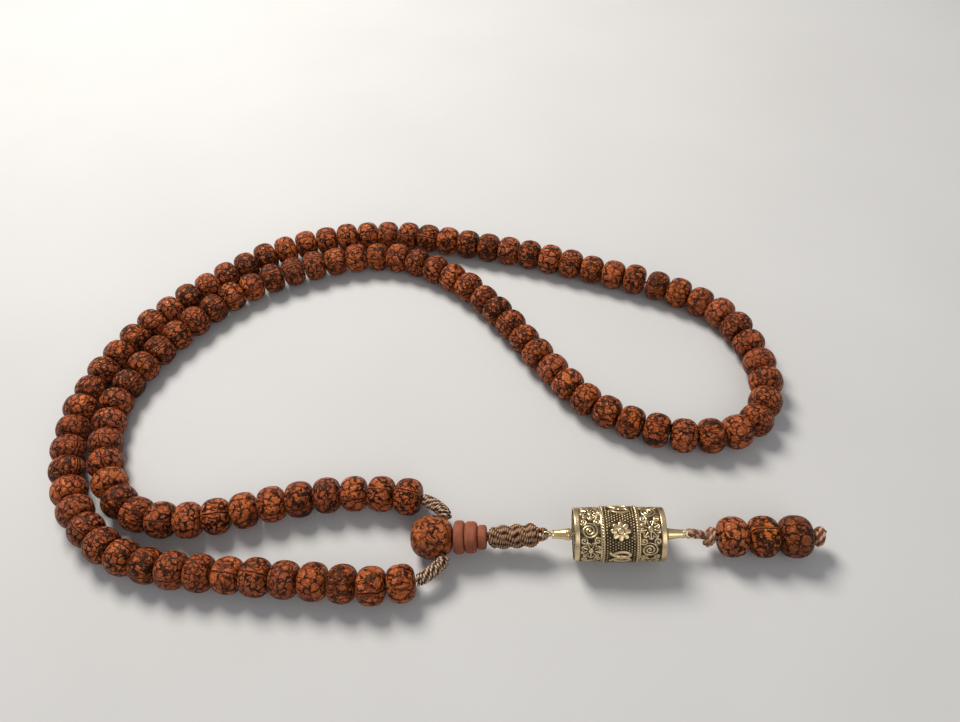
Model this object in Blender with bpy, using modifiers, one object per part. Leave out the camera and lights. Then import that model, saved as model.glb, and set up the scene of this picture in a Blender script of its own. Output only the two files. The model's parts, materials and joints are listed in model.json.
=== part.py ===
"""Mala: a strand of 108 seed beads on one cord, closed by a three-hole guru bead.

A pendant leaves the guru bead: three turned discs, a whipped cord folded through the eye
of a small prayer wheel, and a tail of three beads between two knots.

The strand lies flat. The origin is on the ground under the guru bead, +X runs along the
pendant to its tail, and +Z is up. All sizes are in metres.
"""

import math

import bmesh
import bpy
import numpy as np
from mathutils import Euler, Matrix, Vector

# Clearances
GAP = 0.0003  # left between pieces that touch
FLEX_GAP = 0.0006  # left between beads where the strand bends as a joint
FIT = 0.0001  # round a pin in its bore, and round a cap in its shell

# The strand
BEAD_COUNT = 108
BEADS_PER_RUN = 3  # beads that are joined into one solid
BEAD_DIAMETER = 0.0080
BEAD_THICKNESS = 0.0058
BEAD_BAND = 0.0030  # length of the bead's widest, flat-sided part
BEAD_END_DIAMETER = 0.0042
GROOVE_DIAMETER = 0.0050  # between two joined beads
BEAD_BORE = 0.0019
STRAND_CORD_DIAMETER = 0.0009
FLEX_AFTER_BEAD = (36, 54, 60, 72)  # the strand bends as a joint after these beads
CORD_STRAY = 0.4  # how far the cord may leave the bore's middle, as a share of its room

# Where the strand lies, from the upper side of the guru bead round to its lower side,
# drawn for beads of DRAWN_DIAMETER: two strands lie side by side on the left.
DRAWN_DIAMETER = 0.0080
CLOSEST_SHARE = 0.995  # the least the route may shrink to before its two strands touch
STRAND_ROUTE = (
    (-0.0030, 0.0095), (-0.0110, 0.0108), (-0.0220, 0.0108), (-0.0360, 0.0085),
    (-0.0480, 0.0056), (-0.0590, 0.0045), (-0.0695, 0.0078), (-0.0770, 0.0170),
    (-0.0810, 0.0290), (-0.0814, 0.0390), (-0.0770, 0.0520), (-0.0695, 0.0640),
    (-0.0585, 0.0760), (-0.0440, 0.0840), (-0.0295, 0.0882), (-0.0170, 0.0883),
    (-0.0050, 0.0832), (0.0065, 0.0740), (0.0160, 0.0620), (0.0255, 0.0480),
    (0.0355, 0.0355), (0.0485, 0.0278), (0.0600, 0.0253), (0.0715, 0.0280),
    (0.0774, 0.0375), (0.0770, 0.0500), (0.0710, 0.0640), (0.0585, 0.0732),
    (0.0410, 0.0807), (0.0220, 0.0880), (0.0030, 0.0935), (-0.0170, 0.0982),
    (-0.0340, 0.0974), (-0.0510, 0.0916), (-0.0640, 0.0825), (-0.0770, 0.0690),
    (-0.0860, 0.0540), (-0.0900, 0.0380), (-0.0883, 0.0220), (-0.0815, 0.0078),
    (-0.0710, -0.0018), (-0.0590, -0.0063), (-0.0410, -0.0083), (-0.0220, -0.0097),
    (-0.0100, -0.0105), (-0.0028, -0.0093),
)

# The guru bead and the whipped cord on each side of it
GURU_DIAMETER = 0.0092
GURU_LENGTH = 0.0090
GURU_BAND = 0.0028
GURU_END_DIAMETER = 0.0034
GURU_BORE = 0.0019
SIDE_HOLE_ANGLE = math.radians(60)  # between a side hole and the tail hole
CORD_END_SPREAD = 0.0013  # from the guru bead's centre to where each cord stops
WHIPPING_DIAMETER = 0.0028
WHIPPING_FROM_GURU = 0.0006
WHIPPING_HANDLE = 0.0014  # how far a whipping runs straight before it bends
WHIPPING_END_SHARE = 0.85  # its width at each end, of its full width

# The pendant: three discs, then the whipped cord folded through the wheel's upper eye
DISCS = (("disc_1", 0.0070, 0.0019), ("disc_2", 0.0066, 0.0024), ("disc_3", 0.0051, 0.0017))
DISC_EDGE = 0.0005
DISC_BORE = 0.0015
PENDANT_CORD_DIAMETER = 0.0009
PENDANT_WHIPPING_DIAMETER = 0.0050
PENDANT_WHIPPING_LENGTH = 0.0095
BALL_SHARE = 0.80  # the whipping starts this share of its radius before its swing centre
LOOP_OPENING = 0.0011  # between the whipping's end and the eye's wire
PENDANT_WHIPPING_BORE = 0.0027
FOLD_SPACING = 0.0012  # between the two strands of a folded cord
NECK_SHARE = 1.7  # a fold closes up at this many of its radii from its centre

# The prayer wheel
DRUM_DIAMETER = 0.0116
DRUM_LENGTH = 0.0184
DRUM_WALL = 0.0006
DRUM_RIM = 0.0011
DRUM_SIDE_BAND = 0.0043
BAND_DEPTH = 0.0002  # the side bands lie this far under the rims
MIDDLE_PROUD = 0.0003  # the middle band stands this far over the rims
CAP_THICKNESS = 0.0008
CAP_RECESS = 0.0003
PIN_DIAMETER = 0.0007
EYE_DIAMETER = 0.0020  # to the middle of the eye's wire
EYE_WIRE = 0.0004
UPPER_CONE_LENGTH = 0.0037
LOWER_CONE_LENGTH = 0.0043
CONE_NARROW = 0.0017
CONE_WIDE = 0.0026
WASHER_DIAMETER = 0.0024
WASHER_THICKNESS = 0.0003

# The tail: a folded cord knotted above and below three beads
TAIL_CORD_DIAMETER = 0.0009
KNOT_LENGTH = 0.0026
KNOT_DIAMETER = 0.0042
LEAST_KNOT_FROM_EYE = 0.0015
CORD_SLOPE = 0.5  # how steeply the folded cord may come down from the eye to the knot
LOOP_RISE = 0.0005  # the folded cord enters the knot this far over its middle
TAIL_BEADS = (
    ("tail_bead_1", 0.0084, 0.0060),
    ("tail_bead_2", 0.0086, 0.0059),
    ("tail_bead_3", 0.0088, 0.0063),
)
TAIL_BEAD_END = 0.0046
TAIL_BEAD_BAND = 0.0026
TAIL_BEAD_BORE = 0.0015

# Sides of the round solids
SIDES_STRAND = 8
SIDES_CORD = 8
SIDES_PIN = 12
SIDES_KNOT = 12
SIDES_SMALL = 16
SIDES_DRUM = 32

OBJECT_NAME = "mala"


# ---- Scene, collections and materials ----


def clear_scene():
    for obj in list(bpy.data.objects):
        bpy.data.objects.remove(obj, do_unlink=True)


def new_collection(name):
    collection = bpy.data.collections.new(name)
    bpy.context.scene.collection.children.link(collection)
    return collection


def new_material(name, colour, roughness, metallic=0.0):
    material = bpy.data.materials.new(name)
    material.use_nodes = True
    shader = material.node_tree.nodes["Principled BSDF"]
    shader.inputs["Base Color"].default_value = (*colour, 1.0)
    shader.inputs["Roughness"].default_value = roughness
    shader.inputs["Metallic"].default_value = metallic
    material.diffuse_color = (*colour, 1.0)
    return material


def add_object(name, data, collection, material=None, smooth_under=35):
    obj = bpy.data.objects.new(name, data)
    collection.objects.link(obj)
    if material:
        data.materials.append(material)
    if isinstance(data, bpy.types.Mesh):
        data.shade_smooth()
        data.set_sharp_from_angle(angle=math.radians(smooth_under))
    return obj


def as_cutter(obj):
    obj.hide_render = True
    obj.display_type = "WIRE"
    return obj


def add_boolean(obj, other, operation):
    modifier = obj.modifiers.new(operation.title(), "BOOLEAN")
    modifier.operation = operation
    modifier.solver = "EXACT"
    modifier.object = other


# ---- Shapes ----


def turned(name, outline, sides, position, material, collection=None, turn_axis="X"):
    """A turned solid. The outline holds (distance along the axis, radius) points of its
    outer side, from the low end to the high end, and then of its bore, back again. It has
    a flat side down."""
    hollow = outline[0][1] > 0
    mesh = bpy.data.meshes.new(name)
    points = [(radius, 0.0, along) for along, radius in reversed(outline)]
    edges = [(i, i + 1) for i in range(len(points) - 1)]
    if hollow:
        edges.append((len(points) - 1, 0))
    mesh.from_pydata(points, edges, [])
    obj = add_object(name, mesh, collection or parts, material)
    screw = obj.modifiers.new("Turn", "SCREW")
    screw.axis = "Z"
    screw.angle = 2 * math.pi
    screw.steps = sides
    screw.render_steps = sides
    screw.use_merge_vertices = True
    screw.merge_threshold = 0.00001
    screw.use_smooth_shade = True
    obj.location = position
    if turn_axis == "X":
        half_side = Matrix.Rotation(math.pi / sides, 3, "X")
        obj.rotation_euler = (half_side @ Matrix.Rotation(math.pi / 2, 3, "Y")).to_euler()
    return obj


def flat_radius(diameter, sides):
    """Radius to the corners of a solid whose flat sides lie on the given diameter."""
    return diameter / 2 / math.cos(math.pi / sides)


def sleeve_outline(outer, bore_radius):
    """An outline with a plain bore from its high end back to its low end."""
    return [*outer, (outer[-1][0], bore_radius), (outer[0][0], bore_radius)]


def tube(name, points, radii, sides, material=None, collection=None):
    """A mesh swept along the points, with a flat side down and capped ends. The curve that
    makes it is removed."""
    section = bpy.data.curves.new(f"{name}_section", "CURVE")
    outline = section.splines.new("POLY")
    outline.points.add(sides - 1)
    corner = 1 / math.cos(math.pi / sides)
    for i, point in enumerate(outline.points):
        angle = 2 * math.pi * (i + 0.5) / sides
        point.co = (corner * math.cos(angle), corner * math.sin(angle), 0.0, 1.0)
    outline.use_cyclic_u = True
    section_object = bpy.data.objects.new(f"{name}_section", section)
    bpy.context.scene.collection.objects.link(section_object)

    path = bpy.data.curves.new(name, "CURVE")
    path.dimensions = "3D"
    path.twist_mode = "Z_UP"
    path.bevel_mode = "OBJECT"
    path.bevel_object = section_object
    path.use_fill_caps = True
    spline = path.splines.new("POLY")
    spline.points.add(len(points) - 1)
    for point, place, radius in zip(spline.points, points, radii):
        point.co = (*place, 1.0)
        point.radius = radius
    path_object = bpy.data.objects.new(f"{name}_path", path)
    bpy.context.scene.collection.objects.link(path_object)

    bpy.context.view_layer.update()
    graph = bpy.context.evaluated_depsgraph_get()
    mesh = bpy.data.meshes.new_from_object(path_object.evaluated_get(graph))
    matrix = path_object.matrix_world.copy()
    bpy.data.objects.remove(path_object)
    bpy.data.objects.remove(section_object)
    work = bmesh.new()
    work.from_mesh(mesh)
    bmesh.ops.remove_doubles(work, verts=work.verts, dist=0.000001)
    bmesh.ops.recalc_face_normals(work, faces=work.faces)
    work.to_mesh(mesh)
    work.free()
    mesh.name = name
    mesh.materials.clear()
    obj = add_object(name, mesh, collection or parts, material)
    obj.matrix_world = matrix
    return obj


def even_tube(name, points, diameter, material=None, collection=None, sides=SIDES_CORD):
    return tube(name, points, [diameter / 2] * len(points), sides, material, collection)


def bead_outline(diameter, thickness, band, end_diameter, bore, sides):
    """A barrel bead round the origin: a flat band, rounded shoulders and flat ends."""
    radius = flat_radius(diameter, sides)
    end = flat_radius(end_diameter, sides)
    shoulder = (thickness + band) / 4 + band * 0.06
    shoulder_radius = end + (radius - end) * 0.62
    outer = [
        (-thickness / 2, end),
        (-shoulder, shoulder_radius),
        (-band / 2, radius),
        (band / 2, radius),
        (shoulder, shoulder_radius),
        (thickness / 2, end),
    ]
    return sleeve_outline(outer, flat_radius(bore, sides))


# ---- Routes ----


def smooth_curve(points, steps=24):
    """Points along a centripetal Catmull-Rom curve through the given ones."""
    points = np.array(points, float)
    first = 2 * points[0] - points[1]
    last = 2 * points[-1] - points[-2]
    knots = np.vstack([first, points, last])
    curve = []
    for a, b, c, d in zip(knots, knots[1:], knots[2:], knots[3:]):
        before = math.sqrt(np.linalg.norm(b - a))
        across = math.sqrt(np.linalg.norm(c - b))
        after = math.sqrt(np.linalg.norm(d - c))
        leave = (c - b) + across * ((b - a) / before - (c - a) / (before + across))
        arrive = (c - b) + across * ((d - c) / after - (d - b) / (across + after))
        for step in range(steps):
            t = step / steps
            curve.append(
                (2 * t**3 - 3 * t**2 + 1) * b
                + (t**3 - 2 * t**2 + t) * leave
                + (3 * t**2 - 2 * t**3) * c
                + (t**3 - t**2) * arrive
            )
    curve.append(points[-1])
    return np.array(curve)


class Strand:
    """The strand's line, as wide as its beads need and as long as all of them need."""

    def __init__(self):
        curve = smooth_curve(STRAND_ROUTE)
        drawn = np.linalg.norm(np.diff(curve, axis=0), axis=1).sum()
        needed = BEAD_COUNT * (BEAD_THICKNESS + GAP)
        self.scale = max(needed / drawn, BEAD_DIAMETER / DRAWN_DIAMETER * CLOSEST_SHARE)
        self.curve = (curve - curve[0]) * self.scale + self.start(curve)
        steps = np.linalg.norm(np.diff(self.curve, axis=0), axis=1)
        self.along = np.concatenate([[0.0], np.cumsum(steps)])
        self.pitch = self.along[-1] / BEAD_COUNT

    def start(self, curve):
        """The strand's first point, which keeps its two ends even round the guru bead."""
        middle = (curve[0] + curve[-1]) / 2
        return middle + (curve[0] - middle) * self.scale

    def point(self, distance):
        x, y = (np.interp(distance, self.along, self.curve[:, i]) for i in (0, 1))
        return Vector((x, y, BEAD_DIAMETER / 2))

    def extended(self, distance, extra):
        """The point past the given distance, straight on by extra, negative for back."""
        near = self.point(distance)
        other = self.point(distance + math.copysign(self.pitch / 8, -extra))
        return near + (near - other).normalized() * abs(extra)


def bezier(start, start_handle, end_handle, end, count):
    points = []
    for i in range(count):
        t = i / (count - 1)
        u = 1 - t
        points.append(
            start * u**3
            + start_handle * 3 * u**2 * t
            + end_handle * 3 * u * t**2
            + end * t**3
        )
    return points


# ---- Sub-parts of the strand ----


def make_run(number):
    """Three beads of the strand as one solid, bored along the cord."""
    first = (number - 1) * BEADS_PER_RUN
    last = first + BEADS_PER_RUN
    gap_before = FLEX_GAP if first in FLEX_AFTER_BEAD else GAP
    gap_after = FLEX_GAP if last in FLEX_AFTER_BEAD else GAP
    stations = [(first * strand.pitch + gap_before / 2, BEAD_END_DIAMETER)]
    for bead in range(first, last):
        centre = (bead + 0.5) * strand.pitch
        stations.append((centre - BEAD_BAND / 2, BEAD_DIAMETER))
        stations.append((centre + BEAD_BAND / 2, BEAD_DIAMETER))
        if bead < last - 1:
            stations.append(((bead + 1) * strand.pitch, GROOVE_DIAMETER))
    stations.append((last * strand.pitch - gap_after / 2, BEAD_END_DIAMETER))
    name = f"bead_run_{number:02d}"
    points = [strand.point(distance) for distance, _ in stations]
    radii = [diameter / 2 for _, diameter in stations]
    run = tube(name, points, radii, SIDES_STRAND, seed_wood)
    bore_points = [strand.extended(first * strand.pitch, -GAP)]
    bore_points += [strand.point(bead * strand.pitch) for bead in range(first + 1, last)]
    bore_points.append(strand.extended(last * strand.pitch, GAP))
    bore = even_tube(f"{name}_bore", bore_points, BEAD_BORE, None, cutters)
    add_boolean(run, as_cutter(bore), "DIFFERENCE")
    return run


def side_hole(side):
    """The direction of the guru bead's side hole: side is 1 for upper, -1 for lower."""
    return Vector((math.cos(SIDE_HOLE_ANGLE), side * math.sin(SIDE_HOLE_ANGLE), 0.0))


def whipping_points(side):
    """From the strand's end bead to the guru bead."""
    length = strand.along[-1]
    end = strand.extended(0.0, -GAP) if side > 0 else strand.extended(length, GAP)
    inner = strand.point(strand.pitch / 8 if side > 0 else length - strand.pitch / 8)
    away = (end - inner).normalized()
    reach = flat_radius(GURU_DIAMETER, SIDES_SMALL) + WHIPPING_FROM_GURU
    mouth = guru_centre + side_hole(side) * reach
    return bezier(
        end,
        end + away * WHIPPING_HANDLE,
        mouth + side_hole(side) * WHIPPING_HANDLE,
        mouth,
        8,
    )


def make_side_whipping(name, side):
    points = whipping_points(side)
    radii = [WHIPPING_DIAMETER / 2] * len(points)
    radii[0] *= WHIPPING_END_SHARE
    radii[-1] *= WHIPPING_END_SHARE
    whipping = tube(name, points, radii, SIDES_STRAND, whipping_thread)
    before = points[0] + (points[0] - points[1])
    after = points[-1] + (points[-1] - points[-2])
    bore_points = [before, *points, after]
    bore = even_tube(f"{name}_bore", bore_points, STRAND_CORD_DIAMETER + 2 * GAP, None, cutters)
    add_boolean(whipping, as_cutter(bore), "DIFFERENCE")
    return whipping


def make_stringing_cord():
    """One cord from inside the guru bead, round through every bead, and back into it."""
    stray = (BEAD_BORE - STRAND_CORD_DIAMETER) / 2 * CORD_STRAY
    turns = [guru_centre + side_hole(1) * CORD_END_SPREAD]
    turns += list(reversed(whipping_points(1)))
    for bead in range(1, BEAD_COUNT):
        here = strand.point(bead * strand.pitch)
        before = strand.point((bead - 1) * strand.pitch)
        after = strand.point((bead + 1) * strand.pitch)
        if bead % 2 == 0 or (here - (before + after) / 2).length > stray:
            turns.append(here)
    turns += whipping_points(-1)
    turns.append(guru_centre + side_hole(-1) * CORD_END_SPREAD)
    return even_tube("stringing_cord", turns, STRAND_CORD_DIAMETER, cord_thread)


def make_guru_bead():
    radius = flat_radius(GURU_DIAMETER, SIDES_SMALL)
    end = flat_radius(GURU_END_DIAMETER, SIDES_SMALL)
    half = GURU_LENGTH / 2
    outline = [
        (-half, 0.0),
        (-half, end),
        (-half * 0.86, radius * 0.60),
        (-half * 0.62, radius * 0.84),
        (-GURU_BAND / 2, radius),
        (GURU_BAND / 2, radius),
        (half * 0.62, radius * 0.84),
        (half * 0.86, radius * 0.60),
        (half, end),
        (half, 0.0),
    ]
    guru = turned("guru_bead", outline, SIDES_SMALL, guru_centre, seed_wood)
    # The tail bore runs through the centre, and each side bore runs in to meet it.
    tail_bore = even_tube(
        "guru_tail_bore",
        [guru_centre - Vector((GURU_BORE * 0.6, 0, 0)), guru_centre + Vector((GURU_LENGTH, 0, 0))],
        GURU_BORE,
        None,
        cutters,
    )
    add_boolean(guru, as_cutter(tail_bore), "DIFFERENCE")
    for name, side in (("upper", 1), ("lower", -1)):
        far = guru_centre + side_hole(side) * GURU_DIAMETER
        bore = even_tube(f"guru_{name}_bore", [guru_centre, far], GURU_BORE * 0.98, None, cutters)
        add_boolean(guru, as_cutter(bore), "DIFFERENCE")
    return guru


# ---- Sub-parts of the pendant ----


def make_disc(name, diameter, thickness, left):
    """A turned disc with eased edges, its left face at the given distance."""
    outer = flat_radius(diameter, SIDES_SMALL)
    outline = sleeve_outline(
        [
            (0.0, outer - DISC_EDGE),
            (DISC_EDGE, outer),
            (thickness - DISC_EDGE, outer),
            (thickness, outer - DISC_EDGE),
        ],
        flat_radius(DISC_BORE, SIDES_SMALL),
    )
    return turned(name, outline, SIDES_SMALL, (left, 0, guru_centre.z), disc_wood)


def hairpin(centre, across, run_in, radius, spacing):
    """A cord folded round the centre: out along run_in, half round, and back again. Across
    points from one strand to the other, and run_in from the fold to the strands' ends."""
    along = run_in.normalized()
    neck = along * (radius * NECK_SHARE)
    neck_half = spacing * 0.58
    half = [run_in - across * (spacing / 2), neck - across * neck_half]
    turn = []
    for i in range(9):
        angle = math.pi * i / 8
        turn.append(-along * (radius * math.sin(angle)) - across * (radius * math.cos(angle)))
    back = [neck + across * neck_half, run_in + across * (spacing / 2)]
    return [centre + offset for offset in [*half, *turn, *back]]


def make_pendant_whipping():
    """The thread wound round the folded cord, ball-shaped at the end that swings."""
    radius = PENDANT_WHIPPING_DIAMETER / 2
    start = swing_centre - whipping_axis * ball_start
    end = start + whipping_axis * PENDANT_WHIPPING_LENGTH
    ball_end = [(0.0, 0.60), (0.06, 0.83), (0.13, 0.95), (0.20, 1.0)]
    far_end = [(0.84, 1.0), (0.93, 0.95), (1.0, 0.76)]
    points = [start.lerp(end, share) for share, _ in ball_end + far_end]
    radii = [radius * share for _, share in ball_end + far_end]
    whipping = tube("pendant_whipping", points, radii, SIDES_SMALL, whipping_thread)
    bore = even_tube(
        "pendant_whipping_bore",
        [start - whipping_axis * GAP, end + whipping_axis * GAP],
        PENDANT_WHIPPING_BORE,
        None,
        cutters,
        SIDES_SMALL,
    )
    add_boolean(whipping, as_cutter(bore), "DIFFERENCE")
    return whipping


def make_pendant_cord_upper():
    """The pendant cord's stretch inside the guru bead and the discs."""
    z = guru_centre.z
    start = Vector((CORD_END_SPREAD, 0, z))
    end = Vector((discs_right - GAP, 0, z))
    return even_tube("pendant_cord_upper", [start, end], PENDANT_CORD_DIAMETER, cord_thread)


def make_pendant_cord_loop():
    """The pendant cord's folded stretch, from inside the whipping through the upper eye."""
    rim = upper_eye - Vector((EYE_DIAMETER / 2, 0, 0))
    inner_end = swing_centre - whipping_axis * (PENDANT_WHIPPING_DIAMETER * 0.3)
    points = hairpin(rim, Vector((0, 1, 0)), inner_end - rim, EYE_DIAMETER / 2, FOLD_SPACING)
    return even_tube("pendant_cord_loop", points, PENDANT_CORD_DIAMETER, cord_thread)


def eye_ring(name, centre, hole_axis):
    """The wire ring of an eye, its hole along Y or Z."""
    wire = EYE_WIRE / 2
    outline = []
    for i in range(8):
        angle = math.pi - 2 * math.pi * i / 8
        outline.append((wire * math.cos(angle), EYE_DIAMETER / 2 + wire * math.sin(angle)))
    ring = turned(name, outline, SIDES_SMALL, centre, None, cutters, turn_axis="Z")
    if hole_axis == "Y":
        ring.rotation_euler = Euler((math.pi / 2, 0, 0))
    return as_cutter(ring)


def make_axle_pin():
    """The wire through the wheel, with an eye at each end."""
    overlap = EYE_WIRE * 0.35
    left = upper_eye.x + EYE_DIAMETER / 2 - overlap
    right = lower_eye.x - EYE_DIAMETER / 2 + overlap
    radius = PIN_DIAMETER / 2
    outline = [(left, 0.0), (left, radius), (right, radius), (right, 0.0)]
    pin = turned("axle_pin", outline, SIDES_PIN, (0, 0, axle_height), bright_brass)
    add_boolean(pin, eye_ring("upper_eye_ring", upper_eye, "Y"), "UNION")
    add_boolean(pin, eye_ring("lower_eye_ring", lower_eye, "Z"), "UNION")
    return pin


def make_cone(name, narrow_end, wide_end):
    """A flared ferrule on the pin. It narrows from the wheel to the eye."""
    length = abs(wide_end - narrow_end)
    toward = math.copysign(1.0, wide_end - narrow_end)
    narrow = CONE_NARROW / 2
    wide = CONE_WIDE / 2
    flare = [
        (0.0, narrow),
        (0.35, narrow + (wide - narrow) * 0.22),
        (0.80, wide * 0.92),
        (0.88, wide),
        (1.0, wide),
    ]
    outer = [(narrow_end + toward * length * share, radius) for share, radius in flare]
    if toward < 0:
        outer.reverse()
    outline = sleeve_outline(outer, PIN_DIAMETER / 2 + FIT)
    return turned(name, outline, SIDES_SMALL, (0, 0, axle_height), bright_brass)


def make_washer():
    outline = sleeve_outline(
        [(washer_left, WASHER_DIAMETER / 2), (washer_left + WASHER_THICKNESS, WASHER_DIAMETER / 2)],
        PIN_DIAMETER / 2 + FIT,
    )
    return turned("upper_washer", outline, SIDES_SMALL, (0, 0, axle_height), silver)


def drum_radii():
    """The wheel's radii: its middle band, its rims, its side bands and its inside."""
    middle = flat_radius(DRUM_DIAMETER, SIDES_DRUM)
    rim = middle - MIDDLE_PROUD
    band = rim - BAND_DEPTH
    return middle, rim, band, band - DRUM_WALL


def make_drum_shell():
    """The wheel's wall: a rim at each end, two side bands and a proud middle band."""
    middle, rim, band, bore = drum_radii()
    band_left = drum_left + DRUM_RIM
    middle_left = band_left + DRUM_SIDE_BAND
    middle_right = drum_right - DRUM_RIM - DRUM_SIDE_BAND
    band_right = drum_right - DRUM_RIM
    outer = [
        (drum_left, rim),
        (band_left, rim),
        (band_left, band),
        (middle_left, band),
        (middle_left, middle),
        (middle_right, middle),
        (middle_right, band),
        (band_right, band),
        (band_right, rim),
        (drum_right, rim),
    ]
    outline = sleeve_outline(outer, bore)
    return turned("drum_shell", outline, SIDES_DRUM, (0, 0, axle_height), aged_brass)


def make_drum_cap(name, left):
    """The wheel's end disc, inside the shell, with a hole that runs on the pin."""
    radius = drum_radii()[-1] - FIT
    outer = [(left, radius), (left + CAP_THICKNESS, radius)]
    outline = sleeve_outline(outer, PIN_DIAMETER / 2 + FIT)
    return turned(name, outline, SIDES_DRUM, (0, 0, axle_height), aged_brass)


# ---- Sub-parts of the tail ----


def knot_outline(left):
    """A knot as a rounded lump, from its left end to its right end."""
    radius = KNOT_DIAMETER / 2
    shape = [(0.0, 0.42), (0.16, 0.80), (0.38, 1.0), (0.62, 1.0), (0.84, 0.80), (1.0, 0.42)]
    return [(left + KNOT_LENGTH * share, radius * height) for share, height in shape]


def make_tail_cord():
    """One cord folded through the lower eye, knotted, through the beads, knotted again."""
    core = TAIL_CORD_DIAMETER / 2
    outline = [
        (knot_left, 0.0),
        *knot_outline(knot_left),
        (knot_left + KNOT_LENGTH, core),
        (end_knot_left, core),
        *knot_outline(end_knot_left),
        (end_knot_left + KNOT_LENGTH, 0.0),
    ]
    cord = turned("tail_cord", outline, SIDES_KNOT, (0, 0, tail_height), tail_thread)
    rim = lower_eye + Vector((EYE_DIAMETER / 2, 0, 0))
    knot_in = Vector((knot_left + KNOT_LENGTH * 0.3, 0, tail_height + LOOP_RISE))
    points = hairpin(rim, Vector((0, 0, 1)), knot_in - rim, EYE_DIAMETER / 2, FOLD_SPACING)
    loop = even_tube("tail_loop", points, TAIL_CORD_DIAMETER, None, cutters)
    add_boolean(cord, as_cutter(loop), "UNION")
    return cord


def make_tail_bead(name, diameter, thickness, left):
    outline = bead_outline(
        diameter, thickness, TAIL_BEAD_BAND, TAIL_BEAD_END, TAIL_BEAD_BORE, SIDES_SMALL
    )
    centre = (left + thickness / 2, 0, tail_height)
    return turned(name, outline, SIDES_SMALL, centre, seed_wood)


# ---- Joint axes ----


def add_axis(name, place):
    empty = bpy.data.objects.new(name, None)
    empty.empty_display_size = 0.004
    empty.location = place
    parts.objects.link(empty)
    return empty


def hang(children, axis):
    """Parents the objects to the empty on their joint's axis, without moving them."""
    bpy.context.view_layer.update()
    for child in children:
        child.parent = axis
        child.matrix_parent_inverse = axis.matrix_world.inverted()


# ---- The whole object ----

clear_scene()
parts = new_collection(OBJECT_NAME)
cutters = new_collection("cutters")

seed_wood = new_material("seed_wood", (0.42, 0.14, 0.05), 0.38)
disc_wood = new_material("disc_wood", (0.33, 0.12, 0.07), 0.75)
whipping_thread = new_material("whipping_thread", (0.50, 0.38, 0.26), 0.6)
cord_thread = new_material("cord_thread", (0.40, 0.27, 0.16), 0.7)
tail_thread = new_material("tail_thread", (0.38, 0.22, 0.13), 0.65)
aged_brass = new_material("aged_brass", (0.40, 0.31, 0.15), 0.4, 1.0)
bright_brass = new_material("bright_brass", (0.70, 0.55, 0.25), 0.25, 1.0)
silver = new_material("silver", (0.75, 0.74, 0.70), 0.25, 1.0)

strand = Strand()
guru_centre = Vector((0, 0, GURU_DIAMETER / 2))

# Along the pendant, each piece starts where the one before it ends.
disc_lefts = []
next_left = GURU_LENGTH / 2 + GAP
for _, _, disc_thickness in DISCS:
    disc_lefts.append(next_left)
    next_left += disc_thickness + GAP
discs_right = next_left - GAP
axle_height = DRUM_DIAMETER / 2
swing_centre = Vector((discs_right + GAP + PENDANT_WHIPPING_DIAMETER / 2, 0, guru_centre.z))
ball_start = PENDANT_WHIPPING_DIAMETER / 2 * BALL_SHARE
whipping_right = swing_centre.x + PENDANT_WHIPPING_LENGTH - ball_start
eye_left = whipping_right + LOOP_OPENING
upper_eye = Vector((eye_left + (EYE_DIAMETER + EYE_WIRE) / 2, 0, axle_height))
whipping_axis = (upper_eye - swing_centre).normalized()
upper_cone_left = upper_eye.x + EYE_DIAMETER / 2 + EYE_WIRE / 2 - FIT
washer_left = upper_cone_left + UPPER_CONE_LENGTH + FIT
drum_left = washer_left + WASHER_THICKNESS + GAP - CAP_RECESS + GAP
drum_right = drum_left + DRUM_LENGTH
lower_cone_left = drum_right - CAP_RECESS + GAP
lower_cone_right = lower_cone_left + LOWER_CONE_LENGTH
lower_eye = Vector((lower_cone_right + EYE_DIAMETER / 2 + EYE_WIRE / 2 - FIT, 0, axle_height))
tail_height = max(diameter for _, diameter, _ in TAIL_BEADS) / 2
cord_drop = axle_height - tail_height - LOOP_RISE
knot_left = lower_eye.x + (EYE_DIAMETER + EYE_WIRE) / 2
knot_left += max(LEAST_KNOT_FROM_EYE, cord_drop / CORD_SLOPE)

# The strand's solids
runs = [make_run(number + 1) for number in range(BEAD_COUNT // BEADS_PER_RUN)]
upper_whipping = make_side_whipping("upper_whipping", 1)
lower_whipping = make_side_whipping("lower_whipping", -1)
make_stringing_cord()
make_guru_bead()

# The pendant's solids
disc_objects = [
    make_disc(name, diameter, thickness, left)
    for (name, diameter, thickness), left in zip(DISCS, disc_lefts)
]
make_pendant_cord_upper()
pendant_whipping = make_pendant_whipping()
pendant_loop = make_pendant_cord_loop()
axle_pin = make_axle_pin()
upper_cone = make_cone("upper_cone", upper_cone_left, upper_cone_left + UPPER_CONE_LENGTH)
lower_cone = make_cone("lower_cone", lower_cone_right, lower_cone_left)
washer = make_washer()
drum = [
    make_drum_shell(),
    make_drum_cap("drum_cap_upper", drum_left + CAP_RECESS),
    make_drum_cap("drum_cap_lower", drum_right - CAP_RECESS - CAP_THICKNESS),
]

# The tail's solids
bead_left = knot_left + KNOT_LENGTH + GAP
tail_beads = []
for name, diameter, thickness in TAIL_BEADS:
    tail_beads.append(make_tail_bead(name, diameter, thickness, bead_left))
    bead_left += thickness + GAP
end_knot_left = bead_left
tail_cord = make_tail_cord()

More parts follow.
